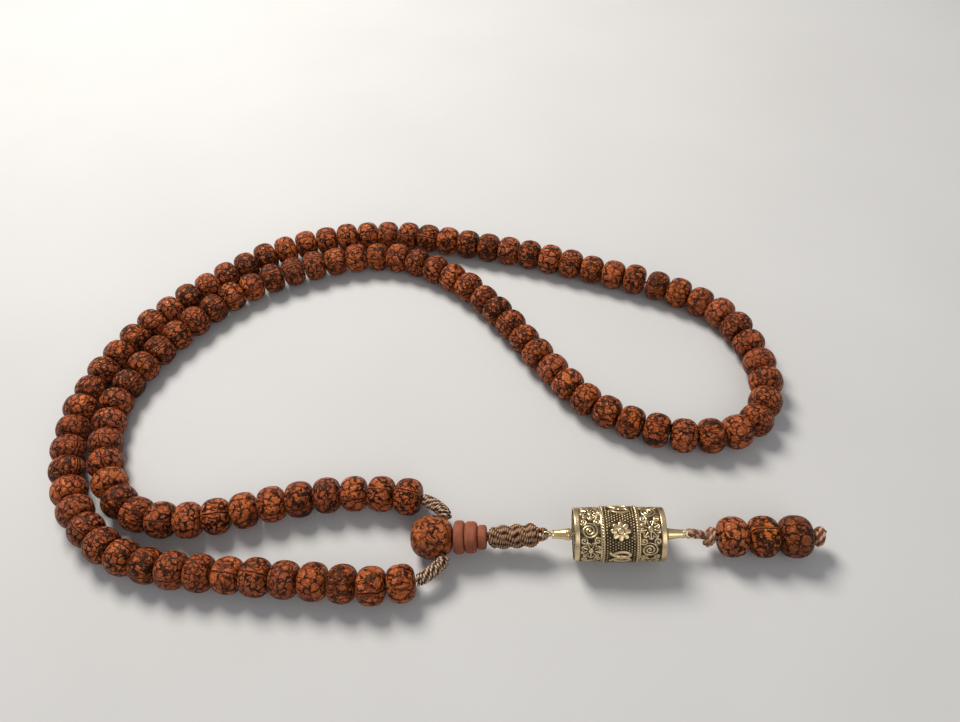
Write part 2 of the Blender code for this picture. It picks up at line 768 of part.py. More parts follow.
# The joints' axes, and what turns about each
flex_axes = []
for bead in FLEX_AFTER_BEAD:
    flex_axes.append(add_axis(f"axis_strand_after_{bead}", strand.point(bead * strand.pitch)))
for start_bead, end_bead, axis in zip(FLEX_AFTER_BEAD, FLEX_AFTER_BEAD[1:], flex_axes):
    link = runs[start_bead // BEADS_PER_RUN : end_bead // BEADS_PER_RUN]
    hang(link, axis)
hang([flex_axes[1]], flex_axes[0])
hang([flex_axes[2]], flex_axes[1])
disc_axis = add_axis("axis_discs", (0, 0, guru_centre.z))
hang(disc_objects, disc_axis)
swing_axis = add_axis("axis_pendant_swing", swing_centre)
hang([pendant_whipping, pendant_loop], swing_axis)
lift_axis = add_axis("axis_wheel_lift", upper_eye)
hang([axle_pin, upper_cone, lower_cone, washer], lift_axis)
drum_axis = add_axis("axis_drum", (0, 0, axle_height))
hang(drum, drum_axis)
tail_axis = add_axis("axis_tail_swing", lower_eye)
hang([tail_cord], tail_axis)
tail_bead_axis = add_axis("axis_tail_beads", (0, 0, tail_height))
hang(tail_beads, tail_bead_axis)
hang([tail_bead_axis], tail_axis)
hang([tail_axis, drum_axis], lift_axis)
hang([lift_axis], swing_axis)
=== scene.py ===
"""Looks of a mala: 108 cracked-seed beads, a guru bead, three discs, whipped cord, a small
brass prayer wheel and a tail of three beads.

+X runs along the pendant and +Z is up. Lengths are in metres, except in the shaders, in the
drum's pattern and where a name ends in _mm, where they are in millimetres."""

import json
import math
import random

import bmesh
import bpy
import numpy as np
from mathutils import Matrix, Vector


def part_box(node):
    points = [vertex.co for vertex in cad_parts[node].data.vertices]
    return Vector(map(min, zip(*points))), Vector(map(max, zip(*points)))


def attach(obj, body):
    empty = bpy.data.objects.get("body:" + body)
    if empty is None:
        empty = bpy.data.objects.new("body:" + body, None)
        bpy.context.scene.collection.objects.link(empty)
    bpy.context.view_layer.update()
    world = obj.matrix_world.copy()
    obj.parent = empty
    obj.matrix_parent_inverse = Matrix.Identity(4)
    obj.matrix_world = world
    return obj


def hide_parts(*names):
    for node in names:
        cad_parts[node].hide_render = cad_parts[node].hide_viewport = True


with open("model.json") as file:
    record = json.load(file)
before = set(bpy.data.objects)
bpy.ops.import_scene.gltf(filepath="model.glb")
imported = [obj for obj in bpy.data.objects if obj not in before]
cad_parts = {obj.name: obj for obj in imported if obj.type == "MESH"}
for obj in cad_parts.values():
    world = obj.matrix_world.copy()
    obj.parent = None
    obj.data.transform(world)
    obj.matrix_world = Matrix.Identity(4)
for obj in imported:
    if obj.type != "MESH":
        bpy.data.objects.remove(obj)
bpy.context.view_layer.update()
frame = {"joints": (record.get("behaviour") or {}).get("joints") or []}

MM = 0.001
SEED = 1080
chance = random.Random(SEED)

# The strand, as the frame's solids have it
BEAD_COUNT = 108
BEADS_PER_RUN = 3
BEAD_DIAMETER = 0.0080
BEAD_THICKNESS = 0.0058
GAP = 0.0003
BEND_AFTER_BEAD = (36, 54, 60, 72)
BEND_ROOM = 0.00022
STRAND_BODIES = ("root", "strand_near_side", "strand_end", "strand_far_side", "root")
STRAND_ROUTE = (
    (-0.0030, 0.0095), (-0.0110, 0.0108), (-0.0220, 0.0108), (-0.0360, 0.0085),
    (-0.0480, 0.0056), (-0.0590, 0.0045), (-0.0695, 0.0078), (-0.0770, 0.0170),
    (-0.0810, 0.0290), (-0.0814, 0.0390), (-0.0770, 0.0520), (-0.0695, 0.0640),
    (-0.0585, 0.0760), (-0.0440, 0.0840), (-0.0295, 0.0882), (-0.0170, 0.0883),
    (-0.0050, 0.0832), (0.0065, 0.0740), (0.0160, 0.0620), (0.0255, 0.0480),
    (0.0355, 0.0355), (0.0485, 0.0278), (0.0600, 0.0253), (0.0715, 0.0280),
    (0.0774, 0.0375), (0.0770, 0.0500), (0.0710, 0.0640), (0.0585, 0.0732),
    (0.0410, 0.0807), (0.0220, 0.0880), (0.0030, 0.0935), (-0.0170, 0.0982),
    (-0.0340, 0.0974), (-0.0510, 0.0916), (-0.0640, 0.0825), (-0.0770, 0.0690),
    (-0.0860, 0.0540), (-0.0900, 0.0380), (-0.0883, 0.0220), (-0.0815, 0.0078),
    (-0.0710, -0.0018), (-0.0590, -0.0063), (-0.0410, -0.0083), (-0.0220, -0.0097),
    (-0.0100, -0.0105), (-0.0028, -0.0093),
)

# The guru bead and the tail beads
GURU_ROUNDNESS = 0.55  # how far the guru bead goes from a bead's shape to a ball's
GURU_FLAT_RADIUS = 0.0014  # within which it stays as flat as a bead
GURU_NUMBER = 207.0  # picks its veins, as a strand bead's place does
FIRST_TAIL_NUMBER = 301

# Bores
STRAND_BEAD_BORE = 0.0017
GURU_BEAD_BORE = 0.0015
SIDE_HOLE_BORE = 0.0019
SIDE_HOLE_ANGLE = math.radians(60)  # from the pendant's direction
TAIL_BEAD_BORE = 0.0014
DISC_BORE = 0.0014
FERRULE_BORE = 0.00072
WHEEL_BORE = 0.00084

# Cords and threads
STRAND_CORD_DIAMETER = 0.0009
CORD_LAY = 0.0028  # in which a cord's two plies turn once round each other
CORD_END_SPREAD = 0.0013  # from the guru bead's centre to each cord end inside it
WHIPPING_DIAMETER = 0.0029
WHIPPING_HANDLE = 0.0014  # how far a side whipping runs straight before it bends
WHIPPING_FROM_GURU = 0.0006
THREAD_DIAMETER = 0.00060
THREAD_STEP = 0.00058  # from one turn of a winding to the next
THREAD_LAY = 0.00111
PENDANT_THREAD_DIAMETER = 0.00050
PENDANT_THREAD_STEP = 0.00043
PENDANT_THREAD_LAY = 0.001345
LOOP_CORD_DIAMETER = 0.00118
LOOP_THREAD_DIAMETER = 0.00040
LOOP_THREAD_STEP = 0.00036
LOOP_THREAD_LAY = 0.0013
FOLD_SPACING = 0.0012  # between the two strands of a folded cord
FOLD_FROM_SWING = 0.003  # from the swing centre to the folded cord's hidden ends
BALL_RADIUS = 0.00262  # of the whipping's ball-shaped end about its swing centre
BULGE_TURN = 0.0058  # in which the two strands under the whipping turn once
WHIPPING_OVER_LOOP = 0.0006
TAIL_CORD_DIAMETER = 0.00112
TAIL_CORD_LAY = 0.0016
KNOT_LENGTH = 0.0026
KNOT_DIAMETER = 0.0042
KNOT_LUMP_DIAMETER = 0.0027
END_LUMP_DIAMETER = 0.0026
KNOT_TURNS = 3.1

# The prayer wheel
EYE_WIRE = 0.0004
PIN_DIAMETER = 0.0007
FERRULE_NARROW_RADIUS = 0.00085
DRUM_RIM = 0.0011  # the length of the plain rim at each end
DRUM_BAND = 0.0043  # the length of each side band
DRUM_MIDDLE_PROUD = 0.0003  # how far the middle band stands out over the rims
DRUM_WALL = 0.0009
DRUM_TURN = math.radians(52)  # where the pattern starts
CAP_DOMES = 44
CAP_OVERLAP = 0.00015  # how far each end disc reaches into the drum's wall
PLAIN_BRASS_HEIGHT = 0.85  # how high a plain turned surface counts as lying, from 0 to 1

FLOOR_LEVEL = -0.00005

# Colours that every seed shares
# Painted highlight: the pale colour that the seed material lays on the crown of each pebble
SEED_PAINTED_HIGHLIGHT = (0.760, 0.270, 0.120)
SEED_ROSY = (0.370, 0.084, 0.034)
# Painted shade: a deeper orange that the seed material lays toward each bead's ends, where beads
# meet
SEED_END_SHADE = (0.470, 0.098, 0.006)
SEED_DARK = (0.060, 0.010, 0.006)
VEIN_COLOUR = (0.012, 0.003, 0.002)


# ---- Curves and frames ----


def smooth_curve(points, steps=24):
    """Points along a centripetal Catmull-Rom curve through the given ones."""
    points = np.array(points, float)
    knots = np.vstack([2 * points[0] - points[1], points, 2 * points[-1] - points[-2]])
    curve = []
    for a, b, c, d in zip(knots, knots[1:], knots[2:], knots[3:]):
        before = math.sqrt(np.linalg.norm(b - a))
        across = math.sqrt(np.linalg.norm(c - b))
        after = math.sqrt(np.linalg.norm(d - c))
        leave = (c - b) + across * ((b - a) / before - (c - a) / (before + across))
        arrive = (c - b) + across * ((d - c) / after - (d - b) / (across + after))
        for step in range(steps):
            t = step / steps
            curve.append(
                (2 * t**3 - 3 * t**2 + 1) * b
                + (t**3 - 2 * t**2 + t) * leave
                + (3 * t**2 - 2 * t**3) * c
                + (t**3 - t**2) * arrive
            )
    curve.append(points[-1])
    return np.array(curve)


def lengths_along(path):
    """The distance from the path's start to each of its points."""
    steps = np.linalg.norm(np.diff(path, axis=0), axis=1)
    return np.concatenate([[0.0], np.cumsum(steps)])


def resampled(path, spacing):
    """The path again, with its points evenly spaced."""
    path = np.array(path, float)
    along = lengths_along(path)
    count = max(3, int(round(along[-1] / spacing)) + 1)
    wanted = np.linspace(0.0, along[-1], count)
    return np.stack([np.interp(wanted, along, path[:, i]) for i in range(3)], axis=1)


def bezier(start, start_handle, end_handle, end, count):
    """Points along the cubic curve with the given ends and handles."""
    points = []
    for i in range(count):
        t = i / (count - 1)
        u = 1 - t
        points.append(
            start * u**3
            + start_handle * 3 * u**2 * t
            + end_handle * 3 * u * t**2
            + end * t**3
        )
    return points


def frames_along(path):
    """The path's direction, and two vectors square to it that turn as little as they can."""
    ahead = np.gradient(path, axis=0)
    ahead /= np.linalg.norm(ahead, axis=1)[:, None]
    side = np.cross(ahead[0], (0.0, 0.0, 1.0))
    if np.linalg.norm(side) < 0.1:
        side = np.cross(ahead[0], (0.0, 1.0, 0.0))
    sides = [side / np.linalg.norm(side)]
    for direction in ahead[1:]:
        side = sides[-1] - direction * np.dot(sides[-1], direction)
        sides.append(side / np.linalg.norm(side))
    sides = np.array(sides)
    return ahead, sides, np.cross(ahead, sides)


class Strand:
    """The strand's line: the route drawn out to the length that the beads need."""

    def __init__(self):
        curve = smooth_curve(STRAND_ROUTE)
        drawn = lengths_along(curve)[-1]
        needed = BEAD_COUNT * (BEAD_THICKNESS + GAP)
        scale = needed / drawn
        middle = (curve[0] + curve[-1]) / 2
        start = middle + (curve[0] - middle) * scale
        self.curve = (curve - curve[0]) * scale + start
        self.along = lengths_along(self.curve)
        self.length = self.along[-1]
        self.pitch = self.length / BEAD_COUNT

    def point(self, distance):
        x, y = (np.interp(distance, self.along, self.curve[:, i]) for i in (0, 1))
        return Vector((x, y, BEAD_DIAMETER / 2))

    def extended(self, distance, extra):
        """The point past the given distance, straight on by extra, negative for back."""
        near = self.point(distance)
        other = self.point(distance + math.copysign(self.pitch / 8, -extra))
        return near + (near - other).normalized() * abs(extra)


# ---- Meshes ----


def set_attribute(mesh, name, values):
    attribute = mesh.attributes.new(name, "FLOAT", "POINT")
    attribute.data.foreach_set("value", np.asarray(values, np.float32).ravel())


def grid_piece(name, grid, material, attributes=None, closed_rows=False, caps=False):
    """A smooth mesh over a grid of points, whose columns always close on themselves. Its
    rows can close as well, or its first and last row can be capped."""
    rows, columns = grid.shape[:2]
    faces = []
    for row in range(rows if closed_rows else rows - 1):
        here = row * columns
        there = (row + 1) % rows * columns
        for column in range(columns):
            beside = (column + 1) % columns
            faces.append((here + column, here + beside, there + beside, there + column))
    if caps:
        faces.append(tuple(reversed(range(columns))))
        faces.append(tuple(range((rows - 1) * columns, rows * columns)))
    mesh = bpy.data.meshes.new(name)
    mesh.from_pydata(grid.reshape(-1, 3), [], faces)
    for key, values in (attributes or {}).items():
        set_attribute(mesh, key, values)
    return add_piece(name, mesh, material)


def add_piece(name, mesh, material):
    """A smooth object in the scene, with its faces turned outwards."""
    work = bmesh.new()
    work.from_mesh(mesh)
    bmesh.ops.recalc_face_normals(work, faces=work.faces)
    work.to_mesh(mesh)
    work.free()
    mesh.materials.append(material)
    mesh.shade_smooth()
    piece = bpy.data.objects.new(name, mesh)
    bpy.context.scene.collection.objects.link(piece)
    return piece


def joined(name, pieces):
    """One piece from several, with their attributes kept."""
    with bpy.context.temp_override(
        active_object=pieces[0], selected_editable_objects=pieces, selected_objects=pieces
    ):
        bpy.ops.object.join()
    pieces[0].name = name
    pieces[0].data.name = name
    return pieces[0]


def settle(piece, body, slot, *nodes):
    """Puts the piece on its body, and lets it stand for the frame's own solids."""
    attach(piece, body)
    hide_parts(*nodes)


def arc(centre, radius, start, end, count):
    """Points on an arc in the (along, radius) plane, from one angle to another in degrees."""
    points = []
    for i in range(count):
        angle = math.radians(start + (end - start) * i / (count - 1))
        across = radius * math.cos(angle)
        up = radius * math.sin(angle)
        points.append((centre[0] + across, centre[1] + up))
    return points


def turned(name, outline, sides, centre, material):
    """A turned piece about the X axis through the centre, from a closed outline of (along,
    radius) points."""
    angles = 2 * math.pi * np.arange(sides) / sides
    outline = np.array(outline)
    grid = np.zeros((len(outline), sides, 3))
    grid[:, :, 0] = outline[:, :1] + centre[0]
    grid[:, :, 1] = outline[:, 1:] * np.cos(angles) + centre[1]
    grid[:, :, 2] = outline[:, 1:] * np.sin(angles) + centre[2]
    piece = grid_piece(name, grid, material, closed_rows=True)
    piece.data.set_sharp_from_angle(angle=math.radians(40))
    return piece


def twisted_thread(name, path, diameter, lay, material, spacing, sides=8):
    """A thread of two plies laid round each other, one turn in each lay of its length."""
    path = resampled(path, spacing)
    along = lengths_along(path)
    _, side, up = frames_along(path)
    angles = 2 * math.pi * np.arange(sides) / sides
    uneven = 0.16 * np.sin(along / (lay * 1.9)) + 0.12 * np.sin(along / (lay * 0.83))
    turns = along / lay + uneven
    ply = np.cos(angles[None, :] - 2 * math.pi * turns[:, None])
    radius = diameter / 2 * (0.80 + 0.20 * np.abs(ply) ** 1.5)
    radius[0] *= 0.6
    radius[-1] *= 0.6
    grid = path[:, None, :] + radius[:, :, None] * (
        np.cos(angles)[None, :, None] * side[:, None, :]
        + np.sin(angles)[None, :, None] * up[:, None, :]
    )
    run = np.repeat(along[:, None] / MM, sides, axis=1)
    return grid_piece(name, grid, material, {"along_mm": run, "ply": ply}, caps=True)


def winding(core, radius_at, step, start, end, per_turn=18):
    """The line of a thread wound round the core, from one distance along it to another.
    radius_at gives the winding's radius for a distance and an angle."""
    core = resampled(core, 0.0002)
    along = lengths_along(core)
    _, side, up = frames_along(core)
    turns = (end - start) / step
    line = []
    for i in range(int(turns * per_turn) + 1):
        angle = 2 * math.pi * i / per_turn
        distance = start + step * i / per_turn
        middle, across, over = (
            np.array([np.interp(distance, along, values[:, k]) for k in range(3)])
            for values in (core, side, up)
        )
        radius = radius_at(distance, angle)
        line.append(middle + radius * (math.cos(angle) * across + math.sin(angle) * over))
    return np.array(line)


# ---- Shader nodes ----


class Tree:
    """Adds nodes to a node tree. An input is a socket to link from, or a value to set."""

    def __init__(self, tree):
        self.tree = tree

    def add(self, kind, inputs=None, **settings):
        node = self.tree.nodes.new(kind)
        for key, value in settings.items():
            setattr(node, key, value)
        self.feed(node, inputs or {})
        return node

    def feed(self, node, inputs):
        for key, value in inputs.items():
            if isinstance(value, bpy.types.NodeSocket):
                self.tree.links.new(value, node.inputs[key])
            else:
                node.inputs[key].default_value = value

    def math(self, operation, first, second=0.0, clamp=False):
        node = self.add("ShaderNodeMath", {0: first, 1: second}, operation=operation)
        node.use_clamp = clamp
        return node.outputs[0]

    def plus(self, first, second, share):
        """The first value with a share of the second added."""
        return self.math("ADD", first, self.math("MULTIPLY", second, share))

    def vector(self, operation, first, second):
        node = self.add("ShaderNodeVectorMath", {0: first, 1: second}, operation=operation)
        return node.outputs[0]

    def scaled(self, vector, factor):
        node = self.add("ShaderNodeVectorMath", {0: vector, "Scale": factor}, operation="SCALE")
        return node.outputs[0]

    def noise(self, place, scale, detail=2.0, roughness=0.5, output="Fac"):
        inputs = {"Vector": place, "Scale": scale, "Detail": detail, "Roughness": roughness}
        return self.add("ShaderNodeTexNoise", inputs).outputs[output]

    def fade(self, value, low, high, to_low=0.0, to_high=1.0):
        """The value's smooth rise between low and high."""
        inputs = {0: value, 1: low, 2: high, 3: to_low, 4: to_high}
        node = self.add("ShaderNodeMapRange", inputs, interpolation_type="SMOOTHSTEP")
        return node.outputs[0]

    def blend(self, factor, first, second, blend_type="MIX"):
        """Two colours blended. Each is a socket, or red, green and blue."""
        inputs = {0: factor}
        for key, colour in ((6, first), (7, second)):
            plain = not isinstance(colour, bpy.types.NodeSocket)
            inputs[key] = (*colour, 1.0) if plain else colour
        node = self.add("ShaderNodeMix", inputs, data_type="RGBA", blend_type=blend_type)
        return node.outputs[2]

    def attribute(self, name):
        return self.add("ShaderNodeAttribute", attribute_name=name).outputs["Fac"]

    def group(self, group, inputs):
        """A group node's outputs."""
        return self.add("ShaderNodeGroup", inputs, node_tree=group).outputs


def new_group(name, inputs, outputs):
    """An empty node group with named sockets: (tree, its inputs, a function that ends it)."""
    group = bpy.data.node_groups.new(name, "ShaderNodeTree")
    kinds = {"vector": "NodeSocketVector", "value": "NodeSocketFloat"}
    for in_out, sockets in (("INPUT", inputs), ("OUTPUT", outputs)):
        for socket, kind in sockets.items():
            group.interface.new_socket(socket, in_out=in_out, socket_type=kinds[kind])
    tree = Tree(group)
    start = tree.add("NodeGroupInput")
    end = tree.add("NodeGroupOutput")

    def finish(results):
        for socket, value in results.items():
            group.links.new(value, end.inputs[socket])
        return group

    return tree, start.outputs, finish


def seed_veins_group():
    """The dark crack veins of a seed: pebble-like cells, blotches, and lines that run from
    one end of the bore to the other."""
    tree, given, finish = new_group(
        "seed_veins",
        {
            "Place": "vector",
            "Seed": "value",
            "Cell": "value",
            "Stretch": "value",
            "Width": "value",
            "Fine Share": "value",
            "Blotch": "value",
            "Line": "value",
        },
        {"Vein": "value", "Pebble": "value", "Slow Tone": "value", "Toward End": "value"},
    )
    jump = tree.scaled((13.1, 7.7, 5.3), given["Seed"])
    place = tree.vector("ADD", given["Place"], jump)
    half = (0.5, 0.5, 0.5)
    wander = tree.vector("SUBTRACT", tree.noise(place, 1.0, 1.0, 0.5, "Color"), half)
    jitter = tree.vector("SUBTRACT", tree.noise(place, 2.6, 2.0, 0.6, "Color"), half)
    bent = tree.vector("ADD", place, tree.scaled(wander, 1.35))
    bent = tree.vector("ADD", bent, tree.scaled(jitter, 0.38))
    stretch = tree.add("ShaderNodeCombineXYZ", {0: given["Stretch"], 1: 1.0, 2: 1.0}).outputs[0]
    drawn = tree.vector("MULTIPLY", bent, stretch)
    swell = tree.fade(tree.noise(place, 0.9, 2.0, 0.5), 0.33, 0.66, 0.12, 1.75)
    width = tree.math("MULTIPLY", given["Width"], swell)

    def network(size, thickness):
        """(vein, distance from the nearest vein) of one net of cells."""
        cell = tree.math("MULTIPLY", given["Cell"], size)
        net = tree.add(
            "ShaderNodeTexVoronoi",
            {"Vector": drawn, "Scale": tree.math("DIVIDE", 1.0, cell), "Randomness": 0.92},
            feature="DISTANCE_TO_EDGE",
        )
        off = tree.math("MULTIPLY", net.outputs["Distance"], cell)
        wide = tree.math("MULTIPLY", width, thickness)
        outer = tree.math("ADD", tree.math("MULTIPLY", wide, 1.35), 0.03)
        return tree.fade(off, tree.math("MULTIPLY", wide, 0.6), outer, 1.0, 0.0), off

    coarse, off_coarse = network(1.0, 1.0)
    fine, off_fine = network(0.56, 0.62)
    where = tree.noise(place, 0.42, 2.0, 0.5)
    low = tree.math("SUBTRACT", 0.72, tree.math("MULTIPLY", given["Fine Share"], 0.34))
    fine_here = tree.fade(where, low, tree.math("ADD", low, 0.06))
    vein = tree.math("MAXIMUM", coarse, tree.math("MULTIPLY", fine, fine_here))
    low = tree.math("SUBTRACT", 0.74, tree.math("MULTIPLY", given["Blotch"], 0.16))
    patch = tree.fade(tree.noise(bent, 1.0, 3.0, 0.6), low, tree.math("ADD", low, 0.03))
    dark = tree.math("MAXIMUM", vein, patch)
    # Each line lies in a half plane through the bore, at an angle set by the seed.
    parts = tree.add("ShaderNodeSeparateXYZ", {0: given["Place"]}).outputs
    wobble = tree.math("SUBTRACT", tree.noise(place, 0.45, 2.0), 0.5)
    for turn_after_first, thickness in ((0.0, 0.16), (1.7, 0.11), (4.0, 0.14)):
        turn = tree.math("ADD", tree.math("MULTIPLY", given["Seed"], 2.4), turn_after_first)
        cosine = tree.math("COSINE", turn)
        sine = tree.math("SINE", turn)
        across = tree.math("MULTIPLY", parts[1], cosine)
        across = tree.math("SUBTRACT", across, tree.math("MULTIPLY", parts[2], sine))
        facing = tree.plus(tree.math("MULTIPLY", parts[1], sine), parts[2], cosine)
        off_line = tree.math("ABSOLUTE", tree.math("ADD", across, wobble))
        line = tree.fade(off_line, thickness * 0.6, thickness * 1.5, 1.0, 0.0)
        shown = tree.math("MULTIPLY", tree.fade(facing, 0.5, 1.0), given["Line"])
        # The seed is clean on both sides of a line.
        beside = tree.fade(off_line, thickness * 1.5, thickness * 1.5 + 0.40, 0.9, 0.0)
        clean = tree.math("SUBTRACT", 1.0, tree.math("MULTIPLY", beside, shown))
        dark = tree.math("MULTIPLY", dark, clean)
        dark = tree.math("MAXIMUM", dark, tree.math("MULTIPLY", line, shown), clamp=True)
    # Pebble rises toward the middle of each cell, where the seed material paints a highlight;
    # Toward End rises toward the bead's ends, where it paints shade.
    off_any = tree.math("MINIMUM", off_coarse, tree.math("ADD", off_fine, 0.12))
    return finish(
        {
            "Vein": dark,
            "Pebble": tree.fade(off_any, 0.02, 0.42),
            "Slow Tone": tree.noise(place, 0.30, 3.0, 0.55),
            "Toward End": tree.fade(tree.math("ABSOLUTE", parts[0]), 1.2, 3.0),
        }
    )


def fibres_group():
    """Fine fibres along a thread, and the share of its second ply."""
    tree, given, finish = new_group(
        "thread_fibres",
        {"Along": "value", "Ply": "value", "Place": "vector"},
        {"Second Ply": "value", "Fibre": "value", "Fade": "value"},
    )
    along = tree.math("MULTIPLY", given["Along"], 1.3)
    across = tree.math("MULTIPLY", given["Ply"], 5.0)
    slanted = tree.add("ShaderNodeCombineXYZ", {0: along, 1: across, 2: 0.0}).outputs[0]
    fibre = tree.noise(slanted, 2.2, 4.0, 0.7)
    shifted = tree.math("ADD", given["Ply"], tree.math("SUBTRACT", fibre, 0.5))
    return finish(
        {
            "Second Ply": tree.fade(shifted, 0.0, 0.40),
            "Fibre": fibre,
            "Fade": tree.noise(given["Place"], 0.9, 2.0),
        }
    )


def handling_group():
    """Slow smudges and fine scratches that change how a handled surface shines."""
    tree, given, finish = new_group(
        "handling",
        {"Place": "vector", "Scratch Size": "value"},
        {"Smudge": "value", "Scratch": "value", "Grain": "value"},
    )
    long_way = tree.vector("MULTIPLY", given["Place"], (0.35, 2.6, 2.6))
    return finish(
        {
            "Smudge": tree.noise(given["Place"], 0.5, 3.0, 0.6),
            "Scratch": tree.noise(long_way, given["Scratch Size"], 5.0, 0.7),
            "Grain": tree.noise(given["Place"], 9.0, 3.0, 0.7),
        }
    )


def patina_group():
    """Dark patina in the low places of cast brass, and rubbed metal on its high ones."""
    tree, given, finish = new_group(
        "patina",
        {"Relief": "value", "Place": "vector", "Amount": "value"},
        {"Rubbed": "value", "Stain": "value"},
    )
    blot = tree.noise(given["Place"], 0.7, 4.0, 0.62)
    speck = tree.noise(given["Place"], 4.0, 3.0, 0.6)
    height = tree.plus(given["Relief"], tree.math("SUBTRACT", blot, 0.5), given["Amount"])
    height = tree.plus(height, tree.math("SUBTRACT", speck, 0.5), 0.25)
    return finish({"Rubbed": tree.fade(height, 0.18, 0.78), "Stain": blot})


def new_material(name):
    """A material with a Principled shader: (material, tree, shader, place in millimetres)."""
    material = bpy.data.materials.new(name)
    material.use_nodes = True
    tree = Tree(material.node_tree)
    shader = material.node_tree.nodes["Principled BSDF"]
    coordinates = tree.add("ShaderNodeTexCoord").outputs["Object"]
    return material, tree, shader, tree.scaled(coordinates, 1 / MM)


def bumped(tree, height, depth, strength):
    """A normal for a surface that rises by the depth, in metres, where the height is 1."""
    inputs = {"Height": height, "Distance": depth, "Strength": strength}
    return tree.add("ShaderNodeBump", inputs).outputs["Normal"]


def seed_material(name, light, deep, cell, stretch, width, fine, blotch, line_share):
    """Polished seed with dark veins, a painted highlight on the crown of each pebble and painted
    shade toward its ends. Each bead's number sets its own pattern and tone.
    """
    material, tree, shader, place = new_material(name)
    number = tree.attribute("bead_number")
    shade = tree.attribute("shade")
    picks = tree.add("ShaderNodeTexWhiteNoise", {"W": number}, noise_dimensions="1D")
    pick = tree.add("ShaderNodeSeparateColor", {0: picks.outputs["Color"]}).outputs
    veins = tree.group(
        seed_veins,
        {
            "Place": place,
            "Seed": number,
            "Cell": tree.fade(pick[0], 0.0, 1.0, cell * 0.75, cell * 1.30),
            "Stretch": tree.fade(pick[1], 0.15, 0.85, stretch, 1.10),
            "Width": tree.fade(pick[2], 0.0, 1.0, width * 0.80, width * 1.20),
            "Fine Share": tree.fade(pick[1], 0.0, 1.0, fine, fine * 0.2),
            "Blotch": tree.fade(pick[0], 0.0, 1.0, blotch * 0.3, blotch),
            "Line": tree.fade(pick[2], 1 - line_share, 1.02 - line_share),
        },
    )
    handled = tree.group(handling, {"Place": place, "Scratch Size": 3.0})
    tone = tree.fade(veins["Slow Tone"], 0.34, 0.66)
    colour = tree.blend(tone, deep, light)
    rosy = tree.fade(pick[1], 0.45, 1.0, 0.0, 0.75)
    colour = tree.blend(rosy, colour, SEED_ROSY)
    # Painted shade: each bead is made a deeper orange toward its ends, where it meets its
    # neighbours
    painted_end_shade = tree.math("MULTIPLY", veins["Toward End"], 0.45)
    colour = tree.blend(painted_end_shade, colour, SEED_END_SHADE)
    # Painted highlight: the crown of each pebble is made paler
    painted_highlight = tree.math("MULTIPLY", veins["Pebble"], 0.36)
    colour = tree.blend(painted_highlight, colour, SEED_PAINTED_HIGHLIGHT)
    grain = tree.fade(handled["Grain"], 0.3, 0.7, 0.0, 0.20)
    colour = tree.blend(grain, colour, deep)
    colour = tree.blend(shade, colour, SEED_DARK)
    near_vein = tree.fade(veins["Pebble"], 0.0, 0.45, 0.45, 0.0)
    colour = tree.blend(near_vein, colour, SEED_DARK)
    colour = tree.blend(veins["Vein"], colour, VEIN_COLOUR)
    rough = tree.fade(handled["Smudge"], 0.3, 0.7, 0.24, 0.36)
    rough = tree.plus(rough, veins["Vein"], 0.18)
    height = tree.plus(tree.plus(veins["Pebble"], veins["Vein"], -0.5), handled["Grain"], 0.12)
    normal = bumped(tree, height, 0.00022, 1.0)
    tree.feed(shader, {"Base Color": colour, "Roughness": rough, "Normal": normal})
    shader.inputs["Specular IOR Level"].default_value = 0.22
    shader.inputs["Specular Tint"].default_value = (1.0, 0.62, 0.42, 1.0)
    return material


def disc_material():
    """Dull turned wood with fine rings and dust in the pores."""
    material, tree, shader, place = new_material("turned_disc_wood")
    handled = tree.group(handling, {"Place": place, "Scratch Size": 2.2})
    rings = tree.noise(tree.vector("MULTIPLY", place, (7.0, 0.25, 0.25)), 1.0, 3.0, 0.6)
    smudge = tree.fade(handled["Smudge"], 0.3, 0.7)
    colour = tree.blend(smudge, (0.170, 0.040, 0.018), (0.285, 0.078, 0.036))
    colour = tree.blend(tree.fade(rings, 0.35, 0.75, 0.0, 0.45), colour, (0.380, 0.135, 0.075))
    pores = tree.fade(handled["Grain"], 0.58, 0.72, 0.0, 0.55)
    colour = tree.blend(pores, colour, (0.120, 0.035, 0.022))
    rough = tree.fade(handled["Smudge"], 0.3, 0.7, 0.55, 0.72)
    normal = bumped(tree, tree.plus(handled["Grain"], rings, 0.6), 0.00003, 0.7)
    tree.feed(shader, {"Base Color": colour, "Roughness": rough, "Normal": normal})
    shader.inputs["Specular IOR Level"].default_value = 0.20
    return material


def thread_material(name, first, second, faded, fade_share):
    """Twisted thread: one colour in each ply, fibres along it, and sun-faded stretches."""
    material, tree, shader, place = new_material(name)
    fibres = tree.group(
        fibres_of_thread,
        {"Along": tree.attribute("along_mm"), "Ply": tree.attribute("ply"), "Place": place},
    )
    colour = tree.blend(fibres["Second Ply"], first, second)
    fade = tree.fade(fibres["Fade"], 0.40, 0.66, 0.0, fade_share)
    colour = tree.blend(fade, colour, faded)
    streak = tree.fade(fibres["Fibre"], 0.25, 0.75, 0.55, 1.25)
    grey = tree.add("ShaderNodeCombineColor", {0: streak, 1: streak, 2: streak}).outputs[0]
    colour = tree.blend(1.0, colour, grey, "MULTIPLY")
    rough = tree.fade(fibres["Fibre"], 0.2, 0.8, 0.50, 0.74)
    normal = bumped(tree, fibres["Fibre"], 0.00006, 0.9)
    tree.feed(shader, {"Base Color": colour, "Roughness": rough, "Normal": normal})
    shader.inputs["Specular IOR Level"].default_value = 0.18
    return material


